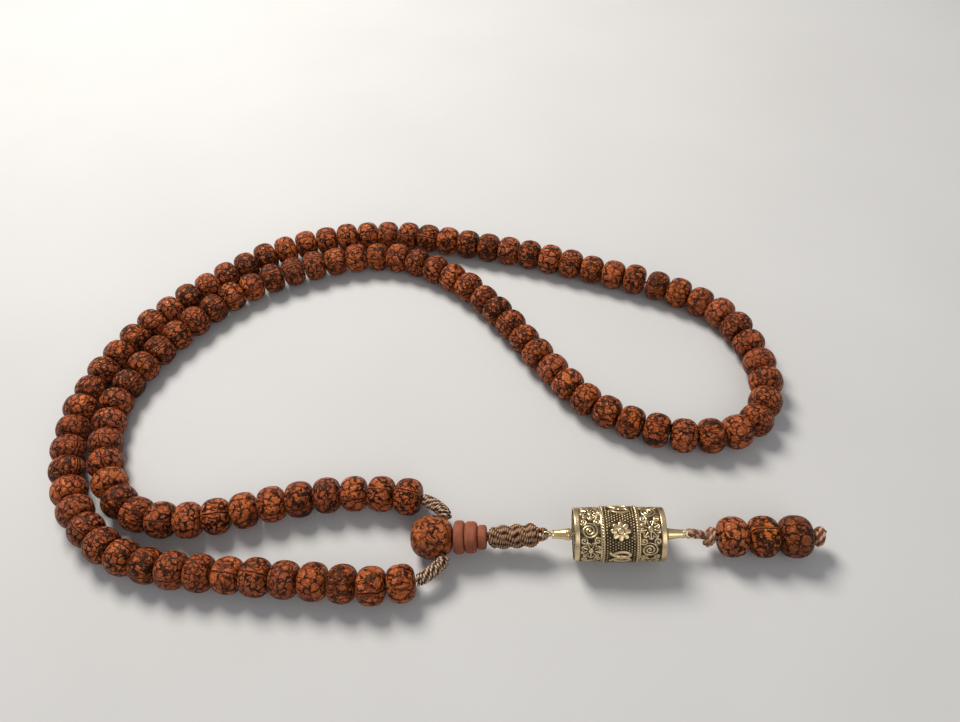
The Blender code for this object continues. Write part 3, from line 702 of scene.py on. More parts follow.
def brass_material(name, bright, dark, amount, rubbed_roughness, relief=None):
    """Brass with a patina: relief is the attribute that holds how high the surface lies."""
    material, tree, shader, place = new_material(name)
    height = tree.attribute(relief) if relief else PLAIN_BRASS_HEIGHT
    worn = tree.group(patina, {"Relief": height, "Place": place, "Amount": amount})
    handled = tree.group(handling, {"Place": place, "Scratch Size": 4.0})
    colour = tree.blend(worn["Rubbed"], dark, bright)
    warm = tree.fade(worn["Stain"], 0.45, 0.75, 0.0, 0.35)
    colour = tree.blend(warm, colour, (bright[0] * 0.62, bright[1] * 0.50, bright[2] * 0.40))
    scratch = tree.fade(handled["Scratch"], 0.35, 0.70, -0.05, 0.12)
    rough = tree.fade(worn["Rubbed"], 0.0, 1.0, 0.70, rubbed_roughness)
    rough = tree.math("ADD", rough, scratch)
    metal = tree.fade(worn["Rubbed"], 0.0, 0.6, 0.35, 1.0)
    height = tree.plus(handled["Grain"], handled["Scratch"], 0.5)
    normal = bumped(tree, height, 0.000012, 0.6)
    tree.feed(shader, {"Base Color": colour, "Roughness": rough, "Metallic": metal})
    tree.feed(shader, {"Normal": normal})
    shader.inputs["Specular IOR Level"].default_value = 0.20
    return material


def floor_material():
    """Plain pale floor, with a very slow change of tone."""
    material, tree, shader, place = new_material("pale_floor")
    slow = tree.noise(place, 0.02, 2.0)
    colour = tree.blend(slow, (0.50, 0.49, 0.475), (0.55, 0.54, 0.525))
    tree.feed(shader, {"Base Color": colour})
    shader.inputs["Roughness"].default_value = 0.85
    return material


seed_veins = seed_veins_group()
fibres_of_thread = fibres_group()
handling = handling_group()
patina = patina_group()

strand_seed = seed_material(
    "strand_seed",
    light=(0.560, 0.118, 0.013),
    deep=(0.240, 0.034, 0.006),
    cell=1.60,
    stretch=0.50,
    width=0.125,
    fine=0.85,
    blotch=0.60,
    line_share=0.60,
)
guru_seed = seed_material(
    "guru_seed",
    light=(0.420, 0.080, 0.012),
    deep=(0.110, 0.017, 0.004),
    cell=2.6,
    stretch=0.9,
    width=0.018,
    fine=0.0,
    blotch=1.56,
    line_share=0.0,
)
tail_seed = seed_material(
    "tail_seed",
    light=(0.620, 0.160, 0.012),
    deep=(0.270, 0.044, 0.005),
    cell=1.8,
    stretch=0.6,
    width=0.150,
    fine=0.7,
    blotch=0.9,
    line_share=0.4,
)
disc_wood = disc_material()
whipping_thread = thread_material(
    "whipping_thread",
    first=(0.026, 0.009, 0.005),
    second=(0.640, 0.410, 0.260),
    faded=(0.66, 0.45, 0.31),
    fade_share=0.25,
)
pendant_thread = thread_material(
    "pendant_thread",
    first=(0.016, 0.006, 0.003),
    second=(0.450, 0.225, 0.108),
    faded=(0.60, 0.37, 0.22),
    fade_share=0.30,
)
strand_thread = thread_material(
    "strand_thread",
    first=(0.260, 0.150, 0.085),
    second=(0.420, 0.290, 0.180),
    faded=(0.50, 0.38, 0.26),
    fade_share=0.3,
)
tail_thread = thread_material(
    "tail_thread",
    first=(0.150, 0.055, 0.030),
    second=(0.560, 0.290, 0.175),
    faded=(0.64, 0.40, 0.27),
    fade_share=0.25,
)
aged_brass = brass_material(
    "aged_brass",
    bright=(0.730, 0.555, 0.320),
    dark=(0.034, 0.021, 0.008),
    amount=0.35,
    rubbed_roughness=0.28,
    relief="relief",
)
bright_brass = brass_material(
    "bright_brass",
    bright=(0.850, 0.640, 0.330),
    dark=(0.200, 0.125, 0.052),
    amount=0.30,
    rubbed_roughness=0.24,
)
nickel = brass_material(
    "nickel",
    bright=(0.720, 0.710, 0.680),
    dark=(0.220, 0.210, 0.200),
    amount=0.25,
    rubbed_roughness=0.22,
)


# ---- The strand ----


def bead_grid(length, diameter, bore, bead_chance, sides=56, rows=26):
    """A seed bead about the X axis: a squarish barrel, slightly uneven, with eased holes."""
    mouth = bore / 2 * 1.25
    outline = []
    for i in range(rows):
        angle = math.pi * i / (rows - 1)
        reach = math.cos(angle)
        x = length / 2 * math.copysign(abs(reach) ** 0.88, -reach)
        outline.append((x, mouth + (diameter / 2 - mouth) * math.sin(angle) ** 0.75))
    ease = (mouth - bore / 2) * 1.5
    outline += [(length / 2 - ease, bore / 2), (0.0, bore / 2), (-length / 2 + ease, bore / 2)]
    outline = np.array(outline)
    angles = 2 * math.pi * np.arange(sides) / sides
    lumps = np.ones((len(outline), sides))
    outside = np.clip((outline[:, 1] - mouth) / (diameter / 2 - mouth), 0, 1)[:, None]
    for waves in (1, 2, 3, 5):
        size = 0.010 / waves**0.5 * bead_chance.uniform(0.4, 1.0)
        lean = bead_chance.uniform(-0.6, 0.6) / length * outline[:, :1]
        turn = bead_chance.uniform(0, 2 * math.pi)
        lumps += outside * size * np.cos(waves * angles[None, :] + turn + lean)
    grid = np.zeros((len(outline), sides, 3))
    skew = bead_chance.uniform(-0.03, 0.03)
    grid[:, :, 1] = outline[:, 1:] * lumps * np.cos(angles)
    grid[:, :, 2] = outline[:, 1:] * lumps * np.sin(angles)
    grid[:, :, 0] = outline[:, :1] * (1 + skew * np.cos(angles)[None, :] * outside)
    return grid


def seed_bead(name, length, diameter, bore, centre, heading, number, shade, material):
    """One bored bead. Its number sets its shape and its veins, and shade darkens it."""
    bead_chance = random.Random(SEED + number)
    grid = bead_grid(length, diameter, bore, bead_chance)
    count = grid.shape[0] * grid.shape[1]
    attributes = {"bead_number": np.full(count, number), "shade": np.full(count, shade)}
    bead = grid_piece(name, grid, material, attributes, closed_rows=True)
    bead.matrix_world = Matrix.Translation(centre) @ Matrix.Rotation(heading, 4, "Z")
    return bead


def body_of_bead(index):
    """The body that a bead of the strand rides on, from its place in the strand."""
    return STRAND_BODIES[sum(index >= bend for bend in BEND_AFTER_BEAD)]


def make_strand_beads():
    for index in range(BEAD_COUNT):
        # A bead beside a bend is shorter, and stands off from it.
        bend_before = index in BEND_AFTER_BEAD
        bend_after = index + 1 in BEND_AFTER_BEAD
        middle = (index + 0.5) * strand.pitch + (bend_before - bend_after) * BEND_ROOM / 2
        length = strand.pitch * chance.uniform(0.955, 0.995)
        if bend_before or bend_after:
            length -= BEND_ROOM
        before = strand.point(middle - strand.pitch * 0.4)
        after = strand.point(middle + strand.pitch * 0.4)
        direction = after - before
        heading = math.atan2(direction.y, direction.x) + math.radians(chance.uniform(-2.5, 2.5))
        diameter = BEAD_DIAMETER * chance.uniform(0.965, 1.025)
        centre = strand.point(middle)
        centre.z = diameter / 2 * 1.01
        shade = min(0.5, max(0.0, chance.gauss(0.06, 0.16)))
        bead = seed_bead(
            f"strand_bead_{index + 1:03d}",
            length,
            diameter,
            STRAND_BEAD_BORE,
            centre,
            heading,
            index + 1,
            shade,
            strand_seed,
        )
        node = f"bead_run_{index // BEADS_PER_RUN + 1:02d}"
        settle(bead, body_of_bead(index), "seed_wood", node)


def side_hole(side):
    """The direction of the guru bead's side hole: side is 1 for upper, -1 for lower."""
    return Vector((math.cos(SIDE_HOLE_ANGLE), side * math.sin(SIDE_HOLE_ANGLE), 0.0))


def whipping_line(side):
    """From the strand's end bead to the guru bead."""
    end = strand.extended(0.0, -GAP) if side > 0 else strand.extended(strand.length, GAP)
    inner = strand.point(strand.pitch / 8 if side > 0 else strand.length - strand.pitch / 8)
    away = (end - inner).normalized()
    mouth = guru_centre + side_hole(side) * (guru_size.y / 2 + WHIPPING_FROM_GURU)
    return bezier(
        end,
        end + away * WHIPPING_HANDLE,
        mouth + side_hole(side) * WHIPPING_HANDLE,
        mouth,
        24,
    )


def make_side_whipping(name, side):
    """Thread wound over the strand's cord, a little thinner at both ends."""
    line = np.array(whipping_line(side))
    length = lengths_along(line)[-1]
    wound = (WHIPPING_DIAMETER - THREAD_DIAMETER) / 2

    def radius_at(distance, angle):
        from_end = min(distance, length - distance) / 0.0012
        taper = 0.86 + 0.14 * min(1.0, from_end)
        return wound * taper * (1 + 0.03 * math.sin(3 * angle + distance / MM))

    path = winding(line, radius_at, THREAD_STEP, 0.0, length)
    whipping = twisted_thread(name, path, THREAD_DIAMETER, THREAD_LAY, whipping_thread, 0.00014)
    settle(whipping, "root", "whipping_thread", name)


def make_stringing_cord():
    """The strand's cord, in one stretch for each body that it passes through."""
    bends = [0, *BEND_AFTER_BEAD, BEAD_COUNT]
    upper = [guru_centre + side_hole(1) * CORD_END_SPREAD, *reversed(whipping_line(1))]
    lower = [*whipping_line(-1), guru_centre + side_hole(-1) * CORD_END_SPREAD]
    for index, (first, last) in enumerate(zip(bends, bends[1:])):
        stops = np.linspace(first, last, (last - first) * 2 + 1) * strand.pitch
        points = [strand.point(stop) for stop in stops]
        if index == 0:
            points = [*upper, *points[1:]]
        if last == BEAD_COUNT:
            points = [*points[:-1], *lower]
        name = f"strand_cord_{index + 1}"
        cord = twisted_thread(name, points, STRAND_CORD_DIAMETER, CORD_LAY, strand_thread, 0.0005)
        settle(cord, STRAND_BODIES[index], "cord_thread", "stringing_cord")


def make_guru_bead():
    """The guru bead is rounder than the others, and has a hole on each side for the strand."""
    guru_chance = random.Random(SEED)
    grid = bead_grid(guru_size.x, guru_size.y, GURU_BEAD_BORE, guru_chance, sides=72, rows=40)
    reach = np.linalg.norm(grid, axis=2, keepdims=True)
    outside = np.linalg.norm(grid[:, :, 1:], axis=2, keepdims=True) > GURU_FLAT_RADIUS
    ball = grid / reach * (guru_size.y / 2)
    round_grid = grid * (1 - GURU_ROUNDNESS) + ball * GURU_ROUNDNESS
    grid = np.where(outside, round_grid, grid)
    count = grid.shape[0] * grid.shape[1]
    attributes = {"bead_number": np.full(count, GURU_NUMBER), "shade": np.full(count, 0.0)}
    guru = grid_piece("guru_bead_seed", grid, guru_seed, attributes, closed_rows=True)
    guru.location = guru_centre
    cutters = [bore_cutter(side_hole(side)) for side in (1, -1)]
    for cutter in cutters:
        modifier = guru.modifiers.new("Side hole", "BOOLEAN")
        modifier.object = cutter
        modifier.operation = "DIFFERENCE"
    bpy.context.view_layer.update()
    graph = bpy.context.evaluated_depsgraph_get()
    drilled = bpy.data.meshes.new_from_object(guru.evaluated_get(graph))
    guru.modifiers.clear()
    guru.data = drilled
    for cutter in cutters:
        bpy.data.objects.remove(cutter)
    settle(guru, "root", "seed_wood", "guru_bead")


def bore_cutter(direction):
    """A plain round drill from just inside the guru bead outwards."""
    mesh = bpy.data.meshes.new("side_bore")
    work = bmesh.new()
    radius = SIDE_HOLE_BORE / 2
    bmesh.ops.create_cone(
        work, cap_ends=True, segments=24, radius1=radius, radius2=radius, depth=0.004
    )
    work.to_mesh(mesh)
    work.free()
    cutter = bpy.data.objects.new("side_bore", mesh)
    bpy.context.scene.collection.objects.link(cutter)
    middle = guru_centre + direction * (guru_size.y / 2)
    turn = direction.to_track_quat("Z", "Y").to_matrix().to_4x4()
    cutter.matrix_world = Matrix.Translation(middle) @ turn
    return cutter


# ---- The pendant ----


def make_disc(name):
    """A turned disc with a rounded rim. It fills the clearance on each side of its solid."""
    low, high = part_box(name)
    half = (high.x - low.x) / 2 + GAP / 2 * 0.9
    centre = (low + high) / 2
    radius = (high.z - low.z) / 2
    edge = half * 0.62
    bore = DISC_BORE / 2
    outline = [(-half, bore), (-half, radius - edge * 1.15)]
    outline += arc((-half + edge, radius - edge), edge, 180, 90, 9)
    outline += arc((half - edge, radius - edge), edge, 90, 0, 9)
    outline += [(half, radius - edge * 1.15), (half, bore)]
    disc = turned(name + "_wood", outline, 64, centre, disc_wood)
    disc.data.set_sharp_from_angle(angle=math.radians(60))
    settle(disc, name, "disc_wood", name)


def hairpin(centre, across, run_in, radius, spacing):
    """A cord folded round the centre: out along run_in, half round, and back again."""
    along = run_in.normalized()
    neck = along * (radius * 1.7)
    neck_half = spacing * 0.58
    points = [run_in - across * (spacing / 2), neck - across * neck_half]
    for i in range(9):
        angle = math.pi * i / 8
        points.append(-along * (radius * math.sin(angle)) - across * (radius * math.cos(angle)))
    points += [neck + across * neck_half, run_in + across * (spacing / 2)]
    return smooth_curve([centre + offset for offset in points], 6)


def make_pendant_cord():
    """The cord inside the discs, and its folded end through the wheel's upper eye."""
    low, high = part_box("pendant_cord_upper")
    middle = (low.z + high.z) / 2
    path = [Vector((low.x, 0, middle)), Vector((high.x, 0, middle))]
    diameter = high.z - low.z
    upper = twisted_thread("pendant_cord_straight", path, diameter, CORD_LAY, strand_thread, 0.0004)
    settle(upper, "root", "cord_thread", "pendant_cord_upper")

    ring = eye_radius - EYE_WIRE / 2
    rim = upper_eye - Vector((ring, 0, 0))
    inner_end = swing_centre + whipping_axis * FOLD_FROM_SWING
    fold = hairpin(rim, Vector((0, 1, 0)), inner_end - rim, ring, FOLD_SPACING)
    length = lengths_along(fold)[-1]
    core_diameter = LOOP_CORD_DIAMETER * 0.62
    core = twisted_thread("loop_core", fold, core_diameter, 0.002, pendant_thread, 0.0002)
    wound = (LOOP_CORD_DIAMETER - LOOP_THREAD_STEP) / 2

    def radius_at(distance, angle):
        """Thicker towards the whipping than in the eye."""
        from_turn = abs(distance - length / 2)
        return wound * (1 + 0.45 * min(1.0, max(0.0, (from_turn - 0.0016) / 0.0012)))

    path = winding(fold, radius_at, LOOP_THREAD_STEP, 0.001, length - 0.001, 14)
    thread = twisted_thread(
        "loop_winding",
        path,
        LOOP_THREAD_DIAMETER,
        LOOP_THREAD_LAY,
        pendant_thread,
        0.00018,
        sides=6,
    )
    loop = joined("pendant_cord_fold", [core, thread])
    settle(loop, "pendant_cord", "cord_thread", "pendant_cord_loop")


def make_pendant_whipping():
    """Thread wound over the folded cord, ball-shaped where it swings. The two strands under
    it, laid round each other, show as slow bulges."""
    low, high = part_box("pendant_whipping")
    left_of_swing = BALL_RADIUS - 0.00008
    start = swing_centre - whipping_axis * left_of_swing
    length = high.x - start.x + WHIPPING_OVER_LOOP
    core = [start, start + whipping_axis * length]
    thread_radius = PENDANT_THREAD_DIAMETER / 2
    full = (high.y - low.y) / 2 - thread_radius + 0.0001

    def radius_at(distance, angle):
        off_centre = abs(min(0.0, distance - left_of_swing))
        ball = math.sqrt(max(0.0, BALL_RADIUS**2 - off_centre**2)) - thread_radius
        bulge = 0.90 + 0.10 * math.cos(2 * (angle - 2 * math.pi * distance / BULGE_TURN))
        end = min(1.0, (length - distance) / 0.0016)
        end_ease = 0.50 + 0.50 * math.sqrt(max(0.0, 1 - (1 - end) ** 2))
        return max(0.00025, min(ball, full * bulge * end_ease))

    path = winding(core, radius_at, PENDANT_THREAD_STEP, 0.0, length, 32)
    thread = twisted_thread(
        "pendant_whipping_thread",
        path,
        PENDANT_THREAD_DIAMETER,
        PENDANT_THREAD_LAY,
        pendant_thread,
        0.00016,
    )
    settle(thread, "pendant_cord", "whipping_thread", "pendant_whipping")


# ---- The prayer wheel ----


def ring_grid(centre, radius, wire, hole_axis, sides=48, around=14):
    """The grid of a wire ring whose hole runs along Y or Z."""
    turn = 2 * math.pi * np.arange(sides) / sides
    small = 2 * math.pi * np.arange(around) / around
    reach = radius + wire / 2 * np.cos(small)[None, :]
    first = reach * np.cos(turn)[:, None]
    second = reach * np.sin(turn)[:, None]
    third = np.repeat(wire / 2 * np.sin(small)[None, :], sides, axis=0)
    order = (first, third, second) if hole_axis == "Y" else (first, second, third)
    return np.stack(order, axis=2) + np.array(centre)


def make_axle():
    """The wire through the wheel, ending in an eye on each side."""
    left = upper_eye.x + eye_radius - EYE_WIRE * 0.8
    right = lower_eye.x - eye_radius + EYE_WIRE * 0.8
    half = PIN_DIAMETER / 2
    outline = [(left, 0.00002), (left, half), (right, half), (right, 0.00002)]
    rod = turned("axle_rod", outline, 32, (0.0, upper_eye.y, upper_eye.z), bright_brass)
    ring = eye_radius - EYE_WIRE / 2
    upper = ring_grid(upper_eye, ring, EYE_WIRE, "Y")
    lower = ring_grid(lower_eye, ring, EYE_WIRE, "Z")
    eyes = [
        grid_piece("upper_eye", upper, bright_brass, closed_rows=True),
        grid_piece("lower_eye", lower, bright_brass, closed_rows=True),
    ]
    axle = joined("wheel_axle_wire", [rod, *eyes])
    settle(axle, "wheel_axle", "bright_brass", "axle_pin")


def make_ferrule(name, wide_right):
    """A flared brass ferrule with a small collar at its wide end."""
    low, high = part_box(name)
    length = high.x - low.x
    narrow = FERRULE_NARROW_RADIUS
    wide = (high.z - low.z) / 2
    bore = FERRULE_BORE / 2
    outline = [(0.0, bore), (0.0, narrow * 0.94)]
    outline += arc((0.00012, narrow * 0.94), 0.00012, 180, 90, 5)[1:]
    for i in range(1, 13):
        share = i / 12
        radius = narrow + (wide * 0.93 - narrow) * share**1.7
        outline.append((length * share * 0.78, radius))
    outline += [(length * 0.81, wide * 0.86), (length * 0.84, wide * 0.98)]
    outline += arc((length * 0.86, wide - 0.00006), 0.00006, 120, 90, 3)
    outline += arc((length - 0.00012, wide - 0.00012), 0.00012, 90, 0, 5)
    outline += [(length, bore)]
    if wide_right:
        outline = [(low.x + along, radius) for along, radius in outline]
    else:
        outline = [(high.x - along, radius) for along, radius in reversed(outline)]
    axis = (0.0, upper_eye.y, upper_eye.z)
    ferrule = turned(name + "_brass", outline, 64, axis, bright_brass)
    settle(ferrule, "wheel_axle", "bright_brass", name)


def make_washer():
    """A plain flat washer with eased edges."""
    low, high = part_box("upper_washer")
    radius = (high.z - low.z) / 2
    ease = 0.00008
    bore = WHEEL_BORE / 2
    outline = [(low.x, bore), (low.x, radius - ease), (low.x + ease, radius)]
    outline += [(high.x - ease, radius), (high.x, radius - ease), (high.x, bore)]
    washer = turned("wheel_washer", outline, 48, (0.0, upper_eye.y, upper_eye.z), nickel)
    settle(washer, "wheel_axle", "silver", "upper_washer")


def rise(distance, half_width, soft):
    """1 within half_width of a line, falling smoothly to 0 over the soft edge."""
    t = np.clip((half_width + soft - distance) / soft, 0, 1)
    return t * t * (3 - 2 * t)


def wrapped(value, period):
    """The value's distance past the nearest multiple of the period."""
    return (value + period / 2) % period - period / 2


class DrumRelief:
    """The drum's cast pattern, over its girth and its length in millimetres."""

    def __init__(self, girth, length, rim, band):
        self.girth = girth
        self.length = length
        self.rim = rim
        self.band = band

    def spiral(self, u, v, middle, radius, pitch, turn, hand):
        """A coiled tendril that fades out at its radius."""
        x = wrapped(u - middle[0], self.girth)
        y = v - middle[1]
        reach = np.hypot(x, y)
        angle = hand * np.arctan2(y, x) + turn
        off = np.abs(wrapped(reach / pitch - angle / (2 * math.pi), 1.0)) * pitch
        inside = np.clip((radius - reach) / 0.15, 0, 1)
        return rise(off, 0.085, 0.11) * inside

    def flower(self, u, v, middle, radius, petals):
        """Petals outlined round an oval boss."""
        x = wrapped(u - middle[0], self.girth)
        y = v - middle[1]
        reach = np.hypot(x, y)
        angle = np.arctan2(y, x)
        edge = radius * (0.66 + 0.34 * np.abs(np.cos(petals * angle / 2)) ** 0.8)
        outline = rise(np.abs(reach - edge), 0.075, 0.10)
        rays = rise(np.abs(np.sin(petals * angle / 2)) * reach * 2 / petals, 0.06, 0.09)
        rays *= np.clip((edge - reach) / 0.12, 0, 1)
        rays *= np.clip((reach - radius * 0.36) / 0.08, 0, 1)
        boss = rise(np.hypot(x / 1.25, y / 0.8), radius * 0.24, 0.12)
        return np.maximum.reduce([outline, rays, boss])

    def side_band(self, u, v, low, phase):
        """Flowers and tendrils in turn round the drum, between low and low plus the band."""
        middle = low + self.band / 2
        near = low + 0.75
        far = low + self.band - 0.75
        repeats = 4
        step = self.girth / repeats
        # Each small tendril's place round the drum and along it, its turn and its hand
        tendrils = (
            (0.285, near, 2.2, -1),
            (0.285, far, 4.0, 1),
            (0.735, near, 1.0, 1),
            (0.735, far, 5.2, -1),
        )
        height = np.zeros_like(u)
        for i in range(repeats):
            at = (i + phase) * step
            shapes = [
                self.flower(u, v, (at, middle), self.band * 0.48, 9),
                self.spiral(u, v, (at + step * 0.50, middle - 0.25), 1.75, 0.66, 0.6, 1),
            ]
            for share, along, turn, hand in tendrils:
                shapes.append(self.spiral(u, v, (at + step * share, along), 0.85, 0.52, turn, hand))
            height = np.maximum.reduce([height, *shapes])
        inside = rise(np.abs(v - middle), self.band / 2 - 0.22, 0.08)
        return height * inside

    def lyre(self, x, y):
        """Two tall scrolls back to back, each ending in a curl, with a bud between them."""
        curl = []
        for i in range(41):
            t = i / 40
            swing = 4.9 * t - 1.1
            reach = 1.62 * (1 - 0.62 * t)
            across = 0.72 + reach * 0.62 * math.cos(swing)
            up = 0.55 + reach * 1.215 * math.sin(swing)
            curl.append((across, up))
        for i in range(15):
            t = i / 14
            curl.append((0.28 + 0.95 * t * t, -0.30 - 1.75 * t))
        bud = rise(np.hypot(x, (y + 0.25) / 1.5), 0.30, 0.14)
        heights = [bud]
        for hand in (-1, 1):
            off = np.minimum.reduce([np.hypot(hand * x - px, y - py) for px, py in curl])
            heights.append(rise(off, 0.21, 0.16))
        return np.maximum.reduce(heights)

    def rosette(self, x, y):
        """Eight round petals and a boss."""
        reach = np.hypot(x, y)
        angle = np.arctan2(y, x)
        petal = 1.95 * (0.55 + 0.45 * np.abs(np.cos(4 * angle)) ** 0.6)
        body = rise(reach - petal, 0.0, 0.18) * (0.72 + 0.28 * np.abs(np.cos(4 * angle)))
        ring = rise(np.abs(reach - 0.72), 0.0, 0.16)
        return np.maximum(body - ring * 0.7, rise(reach, 0.42, 0.2))

    def middle_band(self, u, v):
        """Scrolls and rosettes in turn round the drum, in a field of dots."""
        low = self.rim + self.band
        high = self.length - low
        middle = (low + high) / 2
        pitch = 0.62
        rows = np.round((v - middle) / (pitch * 0.866))
        shift = np.where(rows % 2 == 0, 0.0, pitch / 2)
        step = self.girth / round(self.girth / pitch)
        off = np.hypot(wrapped(u - shift, step), v - middle - rows * pitch * 0.866)
        dots = rise(off, 0.10, 0.13) * 0.62
        motifs = np.zeros_like(u)
        free = np.ones_like(u)
        for i in range(6):
            x = wrapped(u - self.girth * i / 6, self.girth)
            y = v - middle
            near = (np.abs(x) < 2.8) & (np.abs(y) < 3.2)
            shape = np.zeros_like(u)
            shape[near] = (self.lyre if i % 2 == 0 else self.rosette)(x[near], y[near])
            motifs = np.maximum(motifs, shape)
            free = np.minimum(free, 1 - rise(np.hypot(x, y / 1.15), 2.05, 0.2) * 0.85)
        dots *= free
        # A row of domes runs along each edge.
        step = self.girth / round(self.girth / 0.60)
        for edge in (low + 0.42, high - 0.42):
            off = np.hypot(wrapped(u, step), v - edge)
            dots = np.maximum(dots, np.sqrt(np.clip(1 - (off / 0.26) ** 2, 0, 1)) * 0.9)
        inside = rise(np.abs(v - middle), (high - low) / 2 - 0.12, 0.05)
        return np.maximum(dots, motifs) * inside

    def heights(self, u, v):
        """(height in millimetres over the rim, how far it stands out from 0 to 1)."""
        low, high = self.rim, self.length - self.rim
        middle_low, middle_high = low + self.band, high - self.band
        on_rim = (v <= low) | (v >= high)
        in_middle = (v > middle_low) & (v < middle_high)
        side = np.maximum(
            self.side_band(u, v, low, 0.15) * (v < middle_low),
            self.side_band(u, v, middle_high, 0.62) * (v > middle_high),
        )
        middle = self.middle_band(u, v)
        height = np.where(in_middle, 0.05 + 0.25 * middle, -0.19 + 0.18 * side)
        stand = np.where(in_middle, 0.05 + 0.95 * middle, 0.22 + 0.78 * side)
        border = np.minimum(np.abs(v - middle_low), np.abs(v - middle_high))
        line = rise(border, 0.11, 0.08)
        height = np.maximum(height, -0.13 + 0.17 * line)
        stand = np.maximum(stand, line)
        edge = np.minimum(np.abs(v - low), np.abs(v - high))
        groove = rise(edge, 0.03, 0.10)
        height = np.where(on_rim, -0.05 * groove, height)
        stand = np.where(on_rim, 0.96 - 0.5 * groove, stand)
        return height, stand


def make_drum_shell():
    """The hollow drum, with its pattern modelled on the outside."""
    low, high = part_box("drum_shell")
    length = high.x - low.x
    radius = (high.z - low.z) / 2
    rim_radius = radius - DRUM_MIDDLE_PROUD
    sides, rows = 400, 216
    relief = DrumRelief(2 * math.pi * radius / MM, length / MM, DRUM_RIM / MM, DRUM_BAND / MM)
    u = np.repeat(np.arange(sides)[None, :] / sides * relief.girth, rows, axis=0)
    v = np.repeat(np.linspace(0, relief.length, rows)[:, None], sides, axis=1)
    height, stand = relief.heights(u, v)
    ease = 0.22
    rounding = np.clip(1 - np.minimum(v, relief.length - v) / ease, 0, 1)
    outer = rim_radius + (height - ease * (1 - np.sqrt(1 - rounding**2))) * MM
    mouth = rim_radius - ease * MM * 1.6
    inside = radius - DRUM_WALL
    inner_x = np.array([relief.length, relief.length, 0.0, 0.0]) * MM
    inner_radius = np.array([mouth, inside, inside, mouth])
    reach = np.vstack([outer, np.repeat(inner_radius[:, None], sides, axis=1)])
    along = np.vstack([v * MM, np.repeat(inner_x[:, None], sides, axis=1)])
    stand = np.vstack([stand, np.full((4, sides), 0.12)])
    angles = 2 * math.pi * np.arange(sides) / sides + DRUM_TURN
    grid = np.stack(
        [low.x + along, reach * np.cos(angles), upper_eye.z + reach * np.sin(angles)], axis=2
    )
    attributes = {"relief": stand}
    shell = grid_piece("wheel_drum_shell", grid, aged_brass, attributes, closed_rows=True)
    settle(shell, "wheel_drum", "aged_brass", "drum_shell")


def make_drum_cap(name, outward):
    """An end disc with turned rings and a circle of small domes. Outward is -1 or 1."""
    low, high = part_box(name)
    face = low.x if outward < 0 else high.x
    back = high.x if outward < 0 else low.x
    radius = (high.z - low.z) / 2 + CAP_OVERLAP
    sides = 160
    reach = np.linspace(WHEEL_BORE / 2, radius, 64)
    angles = 2 * math.pi * np.arange(sides) / sides
    lift = np.zeros((len(reach), sides))
    for share in (0.40, 0.74):
        ring = rise(np.abs(reach - radius * share), 0.00012, 0.0001) * 0.00012
        lift += ring[:, None]
    turn = wrapped(angles, 2 * math.pi / CAP_DOMES)[None, :] * reach[:, None]
    away = np.hypot(turn, reach[:, None] - radius * 0.88)
    lift += np.sqrt(np.clip(1 - (away / 0.00026) ** 2, 0, 1)) * 0.00020
    stand = np.clip(lift / 0.00018, 0, 1) * 0.75 + 0.05
    along = face + outward * lift
    grid = np.stack(
        [along, reach[:, None] * np.cos(angles), upper_eye.z + reach[:, None] * np.sin(angles)],
        axis=2,
    )
    rim = np.stack([np.full(sides, back), grid[-1, :, 1], grid[-1, :, 2]], axis=1)
    hole = np.stack([np.full(sides, back), grid[0, :, 1], grid[0, :, 2]], axis=1)
    grid = np.concatenate([grid, rim[None], hole[None]])
    stand = np.vstack([stand, np.full((2, sides), 0.1)])
    cap = grid_piece(f"wheel_{name}", grid, aged_brass, {"relief": stand}, closed_rows=True)
    cap.data.set_sharp_from_angle(angle=math.radians(50))
    settle(cap, "wheel_drum", "aged_brass", name)


# ---- The tail ----


def knot_strands(name, left, right, slant):
    """A knot's visible strands: a cord wound round on a slant, over a lump of cord."""
    thick = (right - left) / (KNOT_TURNS + 0.6)
    path = []
    count = int(KNOT_TURNS * 28)
    for i in range(count + 1):
        share = i / count
        angle = 2 * math.pi * KNOT_TURNS * share
        along = left + thick * 0.6 + (right - left - thick * 1.2) * share
        swell = math.sin(math.pi * (0.12 + 0.76 * share)) ** 0.6
        reach = (KNOT_DIAMETER / 2 - thick / 2) * swell
        path.append(
            (
                along + slant * math.cos(angle),
                reach * math.cos(angle + 0.6),
                tail_height + reach * math.sin(angle + 0.6),
            )
        )
    return twisted_thread(name, path, thick * 1.12, 0.0017, tail_thread, 0.00018, 12)


def tail_line(left, right):
    """The tail's straight line from one place along it to another."""
    return [(left, 0, tail_height), (right, 0, tail_height)]


